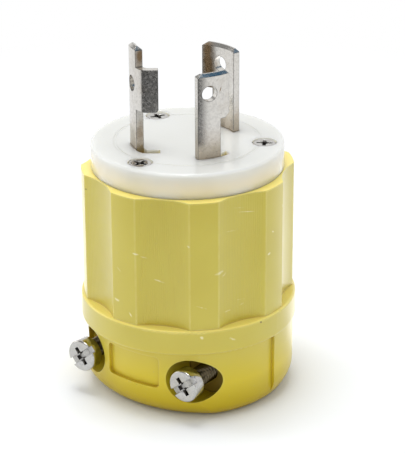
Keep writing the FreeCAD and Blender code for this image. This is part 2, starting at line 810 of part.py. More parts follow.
def make_assembly_screw(label, number):
    """Flush screw that holds the face, the block and the shell together."""
    body = new_body(label)
    screw_profile(body, S["assembly_head_radius"], S["assembly_head_height"], S["assembly_head_round"],
                  S["assembly_shank_radius"], S["assembly_shank_length"])
    cut_cross(body, S["assembly_head_height"], S["assembly_cross_reach"], S["assembly_cross_width"],
              S["assembly_cross_depth"])
    angle = S["assembly_start"] + number * 360 / S["assembly_count"]
    x, y = at_angle(assembly_circle, angle)
    place(body, x, y, face_top - S["assembly_seat_depth"], angle)


def make_insert(label, number):
    """Threaded insert with a groove around it, pressed into a boss."""
    body = new_body(label)
    sketch = new_sketch(body, "InsertProfile", "XZ_Plane")
    inner = S["assembly_shank_radius"] + S["running_gap"]
    outer = S["insert_radius"]
    third = S["insert_length"] / 3
    outline(sketch, [
        (inner, -S["insert_length"]),
        (outer, -S["insert_length"]),
        (outer, -2 * third),
        (outer - S["insert_groove"], -2 * third),
        (outer - S["insert_groove"], -third),
        (outer, -third),
        (outer, 0),
        (inner, 0),
    ])
    revolution(body, "Turned", sketch)
    angle = S["assembly_start"] + number * 360 / S["assembly_count"]
    x, y = at_angle(assembly_circle, angle)
    place(body, x, y, S["seat_level"], angle)


def make_terminal_screw(label, angle):
    """Wire screw that pulls its pressure plate towards the blade."""
    body = new_body(label)
    screw_profile(body, S["terminal_head_radius"], S["terminal_head_height"], S["terminal_head_round"],
                  S["terminal_shank_radius"], S["terminal_shank_length"])
    cut_cross(body, S["terminal_head_height"], S["terminal_cross_reach"], S["terminal_cross_width"],
              S["terminal_cross_depth"])
    point = [size.value for size in at_angle(plate_outer, angle)]
    outwards = Rotation(Vector(0, 0, 1), Vector(point[0], point[1], 0))
    body.Placement = Placement(Vector(0, 0, 0), outwards)
    x, y = at_angle(plate_outer, angle)
    bind(body, "Placement.Base.x", x)
    bind(body, "Placement.Base.y", y)
    bind(body, "Placement.Base.z", S["terminal_level"])


# Face and terminal block


BLADES = (
    ("front", S["front_blade_angle"], S["front_blade_half_width"]),
    ("back", S["back_blade_angle"], S["back_blade_half_width"]),
    ("ground", S["ground_angle"], S["ground_half_width"]),
)


def slot_outline(body, name, level, angle, plain_side, tab_side):
    """Curved slot for a blade, from its middle to both sides: two arcs follow the blade circle."""
    gap = S["slot_gap"]
    outer = blade_outer_radius + gap
    inner = blade_inner_radius - gap
    low = plain_side + gap
    high = tab_side + gap
    sketch = new_sketch(body, name, level=level, turn=angle + 90)
    outline(sketch, [
        (-low, -root(outer * outer - low * low)),
        (high, -root(outer * outer - high * high)),
        (high, -root(inner * inner - high * high)),
        (-low, -root(inner * inner - low * low)),
    ], {0: (outer, LEFT), 2: (inner, RIGHT)})
    return sketch


def hook_sides(gap):
    """Outer and inner side of the hook's straight end, each from the bend to its corner."""
    half = S["blade_thickness"] / 2 + gap
    bend = S["hook_bend_radius"]
    middle = (blade_outer_radius + blade_inner_radius) / 2
    turn_end = hook_bend_start + S["hook_turn"]
    centre = at_angle(middle - bend, hook_bend_start)
    sides = []
    for radius in (bend + half, bend - half):
        bend_end = moved(centre, radius, turn_end)
        sides.append((bend_end, moved(bend_end, S["hook_length"] + gap, turn_end + 90)))
    return sides


def hook_outline(body, name, level, turn, gap):
    """Hook beside the ground blade: it follows the blade circle, then bends inwards."""
    outer = blade_outer_radius + gap
    inner = blade_inner_radius - gap
    half = S["blade_thickness"] / 2 + gap
    bend = S["hook_bend_radius"]
    start = BLADE_MIDDLE + S["hook_start"]
    (outer_end, outer_corner), (inner_end, inner_corner) = hook_sides(gap)
    sketch = new_sketch(body, name, level=level, turn=turn)
    outline(sketch, [
        at_angle(outer, start),
        at_angle(outer, hook_bend_start),
        outer_end,
        outer_corner,
        inner_corner,
        inner_end,
        at_angle(inner, hook_bend_start),
        at_angle(inner, start),
    ], {0: (outer, LEFT), 1: (bend + half, LEFT), 5: (bend - half, RIGHT), 6: (inner, RIGHT)})
    return sketch


def cut_screw_holes(body, top, bottom, seat_depth):
    """Three screw holes, open to the side under the rim, with head seats if asked."""
    x, y = at_angle(assembly_circle, S["assembly_start"])
    sketch = new_sketch(body, "HoleCircle", level=top)
    circle(sketch, (x, y), S["assembly_hole_radius"])
    features = [pocket(body, "ScrewHole", sketch, top - bottom)]
    level = min(top, S["rim_level"], key=lambda size: size.value)
    side = new_sketch(body, "HoleSide", level=level)
    half = S["assembly_hole_radius"]
    rectangle(side, x - half, y - S["assembly_inset"], x + half, y)
    features.append(pocket(body, "ScrewHoleSide", side, level - bottom))
    if seat_depth:
        seat = new_sketch(body, "SeatCircle", level=top)
        circle(seat, (x, y), S["assembly_head_radius"] + S["assembly_seat_gap"])
        features.append(pocket(body, "ScrewSeat", seat, seat_depth))
    around(body, "ScrewHoles", sketch, features, S["assembly_count"])


def make_face():
    """White face: a disc on a round foot, with blade slots and screw seats."""
    body = new_body("face")
    sketch = new_sketch(body, "FaceProfile", "XZ_Plane")
    outer = face_radius
    foot = bore_radius - S["spigot_gap"]
    ring = ring_radius
    outline(sketch, [
        (0, face_under),
        (foot, face_under),
        (foot, S["rim_level"]),
        (outer, S["rim_level"]),
        (outer, face_top - S["face_round"]),
        (outer - S["face_round"], face_top),
        (ring + S["ring_width"], face_top),
        (ring + S["ring_width"], face_top - S["ring_depth"]),
        (ring, face_top - S["ring_depth"]),
        (ring, face_top),
        (0, face_top),
    ], {4: (S["face_round"], LEFT)})
    revolution(body, "Disc", sketch)
    thickness = face_top - face_under
    for name, angle, half_width in BLADES:
        tab_side = half_width + S["tab_width"]
        sketch = slot_outline(body, "Slot_" + name, face_top, angle, half_width, tab_side)
        pocket(body, "BladeSlot_" + name, sketch, thickness)
    sketch = hook_outline(body, "HookWay", face_top, S["ground_angle"] + 90, S["hook_gap"])
    pocket(body, "HookSlot", sketch, thickness)
    cut_screw_holes(body, face_top, face_under, S["assembly_seat_depth"])


def make_block():
    """Terminal block under the face: blade slots, terminal notches and screw holes."""
    body = new_body("terminal_block")
    sketch = new_sketch(body, "BlockCircle", level=S["seat_level"])
    circle(sketch, (0, 0), block_radius)
    pad(body, "Block", sketch, face_under - S["seat_level"])
    for name, angle, half_width in BLADES:
        sketch = slot_outline(body, "Slot_" + name, face_under, angle, half_width, half_width)
        pocket(body, "LegSlot_" + name, sketch, face_under - S["seat_level"])
        plain_side = half_width + S["shoulder_width"]
        tab_side = plain_side + S["tab_width"]
        sketch = slot_outline(body, "Shoulder_" + name, face_under, angle, plain_side, tab_side)
        pocket(body, "ShoulderSeat_" + name, sketch, S["shoulder_height"])
        sketch = new_sketch(body, "Notch_" + name, level=S["seat_level"], turn=angle + 90)
        inner = blade_inner_radius - S["slot_gap"]
        half = S["notch_half_width"]
        rectangle(sketch, -half, -(block_radius + OUTSIDE), half, -inner)
        pocket(body, "TerminalNotch_" + name, sketch, S["notch_height"], ahead=True)
    cut_screw_holes(body, face_under, S["seat_level"], None)
    cut_terminal_screw_ways(body)


def radial_sketch(body, name, angle, distance):
    """Upright sketch that faces outwards at an angle and a distance from the axis."""
    sketch = attached_sketch(body, name, "XZ_Plane")
    sketch.AttachmentOffset = Placement(Vector(0, 0, 0), Rotation(Vector(0, 1, 0), 90))
    bind(sketch, "AttachmentOffset.Rotation.Angle", angle + 90)
    bind(sketch, "AttachmentOffset.Base.x", distance * cosine(angle))
    bind(sketch, "AttachmentOffset.Base.z", -(distance * sine(angle)))
    return sketch


def cut_terminal_screw_ways(body):
    """Holes in the block behind the blades, where the terminal screws' tips end."""
    for name, angle, _ in BLADES:
        sketch = radial_sketch(body, "Way_" + name, angle, plate_outer)
        circle(sketch, (0, S["terminal_level"]), S["terminal_hole_radius"])
        pocket(body, "ScrewWay_" + name, sketch, S["terminal_shank_length"] + S["tip_room"])


# Blades


def blade_outline(body, half_width, top, hole_shift, with_tab):
    """Flat outline of a blade, seen from outside, with its two holes."""
    sketch = new_sketch(body, "BladeOutline", "XZ_Plane")
    plain_side = half_width + S["shoulder_width"]
    tab_side = plain_side + S["tab_width"]
    shoulder_under = face_under - S["shoulder_height"]
    bevel = S["tip_bevel"]
    tab = S["tab_bevel"]
    level = face_top + S["tab_level"]
    corners = [
        (-half_width, S["leg_bottom"]),
        (half_width, S["leg_bottom"]),
        (half_width, shoulder_under),
        (tab_side, shoulder_under),
        (tab_side, face_under),
        (half_width, face_under),
    ]
    wide = half_width
    if with_tab:
        wide = half_width + S["tab_width"]
        corners += [
            (half_width, level),
            (wide - tab, level),
            (wide, level + tab),
        ]
    corners += [
        (wide, top - bevel),
        (wide - bevel, top),
        (bevel - half_width, top),
        (-half_width, top - bevel),
        (-half_width, face_under),
        (-plain_side, face_under),
        (-plain_side, shoulder_under),
        (-half_width, shoulder_under),
    ]
    outline(sketch, corners)
    circle(sketch, (hole_shift, face_top + S["blade_hole_level"]), S["blade_hole_radius"])
    tapped = S["terminal_shank_radius"] + S["running_gap"]
    circle(sketch, (0, S["terminal_level"]), tapped)
    return sketch


def bend_blade(body, top):
    """Cut the padded outline down to a sheet that follows the blade circle."""
    sketch = new_sketch(body, "SheetCircles", level=top + OUTSIDE)
    circle(sketch, (0, 0), blade_inner_radius)
    circle(sketch, (0, 0), blade_outer_radius)
    circle(sketch, (0, 0), 2 * blade_outer_radius)
    return pocket(body, "Sheet", sketch, top + OUTSIDE - S["leg_bottom"] + OUTSIDE)


def bevel_tip(body, sheet_cut, top):
    """Bevel both curved edges of the blade's tip."""
    doc.recompute()
    on_top = edges_where(sheet_cut.Shape, lambda point: point.z > top.value - NEAR)
    curved = [(number, edge) for number, edge in on_top if isinstance(edge.Curve, Part.Circle)]
    bevel = (S["blade_thickness"] - S["tip_flat"]) / 2
    return dress(body, "Chamfer", "TipBevels", sheet_cut, curved, bevel)


def make_blade(label, angle, half_width, hole_shift):
    """Line blade: a curved sheet with a locking tab at one side."""
    body = new_body(label)
    top = face_top + S["blade_reach"]
    sketch = blade_outline(body, half_width, top, hole_shift, with_tab=True)
    pad(body, "Plate", sketch, blade_outer_radius + OUTSIDE / 2)
    sheet_cut = bend_blade(body, top)
    bevel_tip(body, sheet_cut, top)
    place(body, turn=angle + 90)


def add_hook(body):
    """Hook of the ground blade, with its free lower corner rounded."""
    bottom = face_top + S["hook_bottom"]
    sketch = hook_outline(body, "HookOutline", bottom, 0, 0)
    hook = pad(body, "Hook", sketch, S["hook_top"] - S["hook_bottom"])
    doc.recompute()
    corners = [flat(corner) for _, corner in hook_sides(0)]

    def on_corner(point):
        nearest = min(math.hypot(point.x - corner.x, point.y - corner.y) for corner in corners)
        return abs(point.z - bottom.value) < NEAR and nearest < NEAR

    dress(body, "Fillet", "HookCorner", hook, edges_where(hook.Shape, on_corner), S["hook_round"])


def make_ground_blade():
    """Ground blade: the tallest sheet, with its edge hooked inwards."""
    body = new_body("blade_ground")
    top = face_top + S["ground_reach"]
    sketch = blade_outline(body, S["ground_half_width"], top, 0, with_tab=False)
    pad(body, "Plate", sketch, blade_outer_radius + OUTSIDE / 2)
    sheet_cut = bend_blade(body, top)
    bevel_tip(body, sheet_cut, top)
    add_hook(body)
    place(body, turn=S["ground_angle"] + 90)


def make_plate(label, angle):
    """Pressure plate: a small square with the screw's hole and cut corners."""
    body = new_body(label)
    sketch = new_sketch(body, "PlateOutline", "XZ_Plane", level=plate_inner)
    half = S["plate_width"] / 2
    low = S["terminal_level"] - half
    high = S["terminal_level"] + half
    cut = S["plate_corner"]
    outline(sketch, [
        (cut - half, low), (half - cut, low), (half, low + cut), (half, high - cut),
        (half - cut, high), (cut - half, high), (-half, high - cut), (-half, low + cut),
    ])
    circle(sketch, (0, S["terminal_level"]), S["terminal_shank_radius"] + S["running_gap"])
    pad(body, "Plate", sketch, S["plate_thickness"])
    place(body, turn=angle + 90)


def build():
    """Build every piece in the order in which the plug is put together."""
    make_shell()
    make_face()
    make_block()
    make_blade("blade_line_front", S["front_blade_angle"], S["front_blade_half_width"], 0)
    make_blade("blade_line_back", S["back_blade_angle"], S["back_blade_half_width"], S["back_hole_shift"])
    make_ground_blade()
    for name, angle, _ in BLADES:
        make_plate("pressure_plate_" + name, angle)
        make_terminal_screw("terminal_screw_" + name, angle)
    for number, name in enumerate(("front", "right", "back")):
        make_assembly_screw("assembly_screw_" + name, number)
        make_insert("shell_insert_" + name, number)
    make_moving_jaw()
    make_fixed_jaw()
    for name, side in (("left", -1), ("right", 1)):
        make_clamp_screw("clamp_screw_" + name, side, S["clamp_seat_" + name])
        make_nut("clamp_nut_" + name, side)


def check_and_write():
    """Stop at anything that failed, then write each piece to its own file."""
    doc.recompute()
    for thing in doc.Objects:
        if "Invalid" in thing.State or "Error" in thing.State:
            raise RuntimeError("{} failed: {}".format(thing.Name, thing.State))
    os.makedirs("parts", exist_ok=True)
    for piece in parts:
        if piece.Shape.isNull() or not piece.Shape.isValid():
            raise RuntimeError("{} has no valid shape".format(piece.Label))
        if len(piece.Shape.Solids) != 1:
            raise RuntimeError("{} isn't one solid".format(piece.Label))
        piece.Shape.exportStep("parts/{}.step".format(piece.Label))
        box = piece.Shape.BoundBox
        print("{:24s} volume {:9.2f} x {:7.2f} {:7.2f} y {:7.2f} {:7.2f} z {:6.2f} {:6.2f}".format(
            piece.Label, piece.Shape.Volume, box.XMin, box.XMax, box.YMin, box.YMax, box.ZMin, box.ZMax))


build()
check_and_write()
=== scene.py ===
"""Locking power plug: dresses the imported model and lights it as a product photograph.

Sizes are in millimetres and angles in degrees, up to where they meet Blender.
"""
import logging
import math
from dataclasses import dataclass
from enum import Enum
from typing import Any

import bmesh
import bpy
from mathutils import Matrix, Vector


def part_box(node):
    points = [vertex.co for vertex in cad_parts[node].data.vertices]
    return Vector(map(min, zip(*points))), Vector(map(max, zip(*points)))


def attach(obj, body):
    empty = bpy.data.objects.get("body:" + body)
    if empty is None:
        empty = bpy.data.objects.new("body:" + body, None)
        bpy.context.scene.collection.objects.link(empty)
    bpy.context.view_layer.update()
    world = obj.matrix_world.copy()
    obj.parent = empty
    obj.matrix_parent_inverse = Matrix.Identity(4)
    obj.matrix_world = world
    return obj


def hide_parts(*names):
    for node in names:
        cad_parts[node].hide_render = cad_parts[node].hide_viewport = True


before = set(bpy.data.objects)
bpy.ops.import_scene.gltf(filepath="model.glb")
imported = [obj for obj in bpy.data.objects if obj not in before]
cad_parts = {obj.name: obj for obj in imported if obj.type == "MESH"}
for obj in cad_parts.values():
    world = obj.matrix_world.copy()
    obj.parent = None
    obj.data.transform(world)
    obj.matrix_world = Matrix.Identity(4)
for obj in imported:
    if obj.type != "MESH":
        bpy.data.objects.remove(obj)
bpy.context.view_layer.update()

logging.basicConfig(level=logging.INFO, format="%(name)s: %(message)s")
LOG = logging.getLogger("plug")

Object = bpy.types.Object
Mesh = bpy.types.Mesh
Material = bpy.types.Material
Tree = bpy.types.NodeTree
Node = bpy.types.Node

# What feeds an input: an output, or a node in place of its first output
Source = bpy.types.NodeSocket | Node

MM = 0.001
WHITE = (1.0, 1.0, 1.0, 1.0)

# Angle over which two faces of a screw's head meet in an edge
EDGE_ANGLE = math.radians(35)

# Angle under which neighbouring faces of a head are one flat
FLAT_ANGLE = math.radians(0.5)

# Samples of the nodes that feel for edges and hollows
FEELERS = 6

# Likeness of two normals over which a face counts as flat
EVEN = 0.9995


class Slot(str, Enum):
    """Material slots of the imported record."""

    HOUSING = "yellow_nylon"
    FACE = "white_nylon"
    INNER = "inner_nylon"
    JAW = "jaw_nylon"
    BLADE = "plated_blade"
    SCREW = "plated_screw"
    BRASS = "bare_brass"
    GREEN = "green_screw"


def linear(colour: str) -> tuple[float, float, float, float]:
    """Turn an sRGB hex colour to linear.

    Args:
        colour: Colour such as "#c8b450".

    Returns:
        Red, green, blue and an alpha of 1, for a colour socket.
    """
    channels = []
    for start in (1, 3, 5):
        share = int(colour[start:start + 2], 16) / 255
        channels.append(share / 12.92 if share <= 0.04045 else ((share + 0.055) / 1.055) ** 2.4)
    return (channels[0], channels[1], channels[2], 1.0)


def per_metre(size: float) -> float:
    """Turn a pattern's size in millimetres to the scale of a texture in metres."""
    return 1 / (size * MM)


def add_node(tree: Tree, kind: str, inputs: dict[Any, Any] | None = None, **settings: Any) -> Node:
    """Add a node with its settings, input values and links.

    Args:
        tree: Tree that gets the node.
        kind: Node type, such as "ShaderNodeMath".
        inputs: Input name or number, to a value or to the source that feeds it.
        **settings: Properties of the node.

    Returns:
        The new node.
    """
    node = tree.nodes.new(kind)
    for name, value in settings.items():
        setattr(node, name, value)
    for name, value in (inputs or {}).items():
        if isinstance(value, Source):
            tree.links.new(value.outputs[0] if isinstance(value, Node) else value, node.inputs[name])
        else:
            node.inputs[name].default_value = value
    return node


def start_material(name: str) -> tuple[Material, Tree]:
    """Start an empty node material.

    Args:
        name: What the real material is and how its surface was made.

    Returns:
        The material and its tree.
    """
    material = bpy.data.materials.new(name)
    material.use_nodes = True
    material.node_tree.nodes.clear()
    return material, material.node_tree


def place(name: str, data: bpy.types.ID) -> Object:
    """Put a mesh, lamp or camera into the scene, at the origin.

    Args:
        name: Name of the object.
        data: Its mesh, lamp or camera.

    Returns:
        The object.
    """
    obj = bpy.data.objects.new(name, data)
    bpy.context.scene.collection.objects.link(obj)
    return obj


def bake(name: str, shape: bmesh.types.BMesh) -> Mesh:
    """Turn a worked shape into a mesh, and free the shape.

    Args:
        name: Name of the mesh.
        shape: Worked shape.

    Returns:
        The mesh.
    """
    mesh = bpy.data.meshes.new(name)
    shape.to_mesh(mesh)
    shape.free()
    return mesh


def settle(carrier: Object, modifier: bpy.types.Modifier) -> Mesh:
    """Turn a carrier and its only modifier into a plain mesh, and remove the carrier.

    Args:
        carrier: Object that has the modifier.
        modifier: Modifier that makes or softens the shape.

    Returns:
        The plain mesh.
    """
    graph = bpy.context.evaluated_depsgraph_get()
    mesh = bpy.data.meshes.new_from_object(carrier.evaluated_get(graph))
    carrier.modifiers.remove(modifier)
    bpy.data.objects.remove(carrier)
    return mesh


def overlap(tree: Tree, *shares: Source) -> Source:
    """Keep only what lies in all of several masks.

    Args:
        tree: Material's tree.
        *shares: The masks.

    Returns:
        Product of the masks.
    """
    kept = shares[0]
    for share in shares[1:]:
        kept = add_node(tree, "ShaderNodeMath", {0: kept, 1: share}, operation="MULTIPLY")
    return kept


def lay_colours(tree: Tree, colour: Any, coats: list[tuple[Source, str]]) -> Source:
    """Lay coats of colour over one another, each by its own mask.

    Args:
        tree: Material's tree.
        colour: Colour or output under all the coats.
        coats: Mask and hex colour of each coat, from the lowest up.

    Returns:
        Colour output.
    """
    for share, over in coats:
        colour = add_node(tree, "ShaderNodeMix", {"Factor": share, 6: colour, 7: linear(over)},
                          data_type="RGBA").outputs[2]
    return colour


def level_mask(tree: Tree, coords: Source, start: float, full: float, least: float = 0.0,
               most: float = 1.0) -> Source:
    """Find what lies beyond a height over the floor.

    Args:
        tree: Material's tree.
        coords: Object coordinates.
        start: Height at which the mask starts.
        full: Height at which it is full, over or under the start.
        least: Mask before its start.
        most: Mask where it is full.

    Returns:
        Output from the least to the most.
    """
    height = add_node(tree, "ShaderNodeSeparateXYZ", {0: coords}).outputs["Z"]
    return add_node(tree, "ShaderNodeMapRange", {
        "Value": height, "From Min": start * MM, "From Max": full * MM, "To Min": least, "To Max": most})


def edge_mask(tree: Tree, reach: float, turn: float) -> Source:
    """Find edges, where the softened normal leaves the surface's own.

    Args:
        tree: Material's tree.
        reach: Width of the softening.
        turn: Angle at which the mask is full.

    Returns:
        Output between 0 and 1.
    """
    soft = add_node(tree, "ShaderNodeBevel", {"Radius": reach * MM}, samples=FEELERS)
    own = add_node(tree, "ShaderNodeNewGeometry").outputs["True Normal"]
    alike = add_node(tree, "ShaderNodeVectorMath", {0: soft, 1: own}, operation="DOT_PRODUCT")
    return add_node(tree, "ShaderNodeMapRange", {
        "Value": alike.outputs["Value"], "From Min": EVEN, "From Max": math.cos(math.radians(turn))})


def hollow_mask(tree: Tree, reach: float, start: float, full: float) -> Source:
    """Find the piece's own hollows, where the materials lay painted shading: shade on most, a warm bounce
    light on the white face, shade with some dirt on metal.

    Args:
        tree: Material's tree.
        reach: Width of a hollow.
        start: Open share at which the mask starts.
        full: Open share at which the mask is full.

    Returns:
        Output between 0 and 1.
    """
    open_share = add_node(tree, "ShaderNodeAmbientOcclusion", {"Distance": reach * MM},
                          samples=FEELERS, only_local=True)
    return add_node(tree, "ShaderNodeMapRange", {
        "Value": open_share.outputs["AO"], "From Min": start, "From Max": full})


@dataclass(frozen=True)
class Mark:
    """A scratch, rub, speck or a patch of painted reflection, placed by its turn, height and radius on the
    plug.
    """

    turn: float
    height: float
    radius: float
    long: float
    wide: float
    tilt: float
    strength: float
    depth: float = 1.2
    outline: float = 1.25
    core: float = 0.2

    def near(self, tree: Tree, coords: Source) -> Source:
        """Build the mark's share, which falls to nothing at its outline.

        Args:
            tree: Material's tree.
            coords: Object coordinates.

        Returns:
            Output from 0 to the mark's strength.
        """
        angle = math.radians(self.turn)
        middle = (self.radius * math.cos(angle) * MM, self.radius * math.sin(angle) * MM, self.height * MM)
        reach = (self.depth * MM, self.long / 2 * MM, self.wide / 2 * MM)
        local = add_node(tree, "ShaderNodeMapping", {
            "Vector": coords, "Location": middle, "Rotation": (math.radians(self.tilt), 0, angle),
            "Scale": reach}, vector_type="TEXTURE")
        gone = add_node(tree, "ShaderNodeVectorMath", {0: local}, operation="LENGTH")
        return add_node(tree, "ShaderNodeMapRange", {
            "Value": gone.outputs["Value"], "From Min": self.outline, "From Max": self.core,
            "To Max": self.strength})


def mark_mask(tree: Tree, coords: Source, marks: tuple[Mark, ...], grain: float) -> Source:
    """Join marks to one mask that breaks up along each of them.

    Args:
        tree: Material's tree.
        coords: Object coordinates.
        marks: Marks to join.
        grain: Size of the break-up.

    Returns:
        Output between 0 and 1.
    """
    ragged = add_node(tree, "ShaderNodeTexNoise", {
        "Vector": coords, "Scale": per_metre(grain), "Detail": 2.0, "Roughness": 0.6})
    strongest = marks[0].near(tree, coords)
    for mark in marks[1:]:
        strongest = add_node(tree, "ShaderNodeMath", {0: strongest, 1: mark.near(tree, coords)},
                             operation="MAXIMUM")
    summed = add_node(tree, "ShaderNodeMath", {0: strongest, 1: ragged}, operation="ADD")
    return add_node(tree, "ShaderNodeMapRange", {"Value": summed, "From Min": 0.68, "From Max": 1.2})


@dataclass(frozen=True)
class MouldedNylon:
    """Injection-moulded nylon: satin, a little translucent, with the mould's fine grain."""

    name: str
    colour: str
    deep_colour: str
    hollow_shading_colour: str
    roughness: float
    low_light_colour: str | None = None
    low_from: float = 0.0
    low_until: float = 0.0
    hollow: float = 6.0
    cloud: float = 14.0
    patch: float = 5.0
    patch_gloss: float = 0.05
    sheen_colour: str = "#ffffff"
    skin: float = 0.0
    glow: float = 0.25
    glow_radius: tuple[float, float, float] = (1.0, 0.7, 0.2)
    glow_reach: float = 0.9
    grain: float = 0.32
    grain_depth: float = 0.004
    edge_round: float = 0.16
    ior: float = 1.53

    def build(self) -> Material:
        """Build the material.

        Returns:
            The material.
        """
        material, tree = start_material(self.name)
        coords = add_node(tree, "ShaderNodeTexCoord").outputs["Object"]
        soft = add_node(tree, "ShaderNodeBevel", {"Radius": self.edge_round * MM}, samples=FEELERS)
        shader = add_node(tree, "ShaderNodeBsdfPrincipled", {
            "Base Color": self.tint(tree, coords), "Roughness": self.gloss(tree, coords),
            "Normal": self.relief(tree, coords, soft), "IOR": self.ior,
            "Specular Tint": linear(self.sheen_colour), "Subsurface Weight": self.glow,
            "Subsurface Radius": self.glow_radius, "Subsurface Scale": self.glow_reach * MM,
            "Coat Weight": self.cover(tree, coords), "Coat Roughness": self.roughness,
            "Coat IOR": self.ior, "Coat Normal": soft})
        add_node(tree, "ShaderNodeOutputMaterial", {"Surface": shader})
        return material

    def tint(self, tree: Tree, coords: Source) -> Source:
        """Slow drift between two shades, a low colour for painted bounce light, and painted shading in
        hollows.

        Args:
            tree: Material's tree.
            coords: Object coordinates.

        Returns:
            Colour output.
        """
        cloud = add_node(tree, "ShaderNodeTexNoise", {
            "Vector": coords, "Scale": per_metre(self.cloud), "Detail": 3.0, "Roughness": 0.5})
        drift = add_node(tree, "ShaderNodeMapRange", {"Value": cloud, "From Min": 0.3, "From Max": 0.7})
        coats = [(drift, self.deep_colour)]
        # Low colour: painted light bounced up from below, off the floor on the housing and off the yellow rim
        # on the white face
        if self.low_light_colour is not None:
            coats.append((level_mask(tree, coords, self.low_from, self.low_until), self.low_light_colour))
        # Painted shading in hollows: shade on most mouldings, a warm bounce light on the white face
        coats.append((hollow_mask(tree, self.hollow, start=0.5, full=0.1), self.hollow_shading_colour))
        return lay_colours(tree, linear(self.colour), coats)

    def cover(self, tree: Tree, coords: Source) -> Any:
        """Give the glossy skin's share, which is the same all over."""
        return self.skin

    def gloss(self, tree: Tree, coords: Source) -> Source:
        """Roughness with handling marks: slightly polished patches.

        Args:
            tree: Material's tree.
            coords: Object coordinates.

        Returns:
            Roughness output.
        """
        patches = add_node(tree, "ShaderNodeTexNoise", {
            "Vector": coords, "Scale": per_metre(self.patch), "Detail": 5.0, "Roughness": 0.6})
        return add_node(tree, "ShaderNodeMapRange", {
            "Value": patches, "From Min": 0.3, "From Max": 0.7,
            "To Min": self.roughness - self.patch_gloss, "To Max": self.roughness + self.patch_gloss})

    def relief(self, tree: Tree, coords: Source, soft: Source) -> Source:
        """Fine grain of the mould over softened edges.

        Args:
            tree: Material's tree.
            coords: Object coordinates.
            soft: Softened normal.

        Returns:
            Normal output.
        """
        # Spark-eroded grain is near 0.05 mm, and is drawn coarser here so that it shows
        grain = add_node(tree, "ShaderNodeTexNoise", {
            "Vector": coords, "Scale": per_metre(self.grain), "Detail": 3.0, "Roughness": 0.55})
        return add_node(tree, "ShaderNodeBump", {
            "Strength": 1.0, "Distance": self.grain_depth * MM, "Height": grain, "Normal": soft})


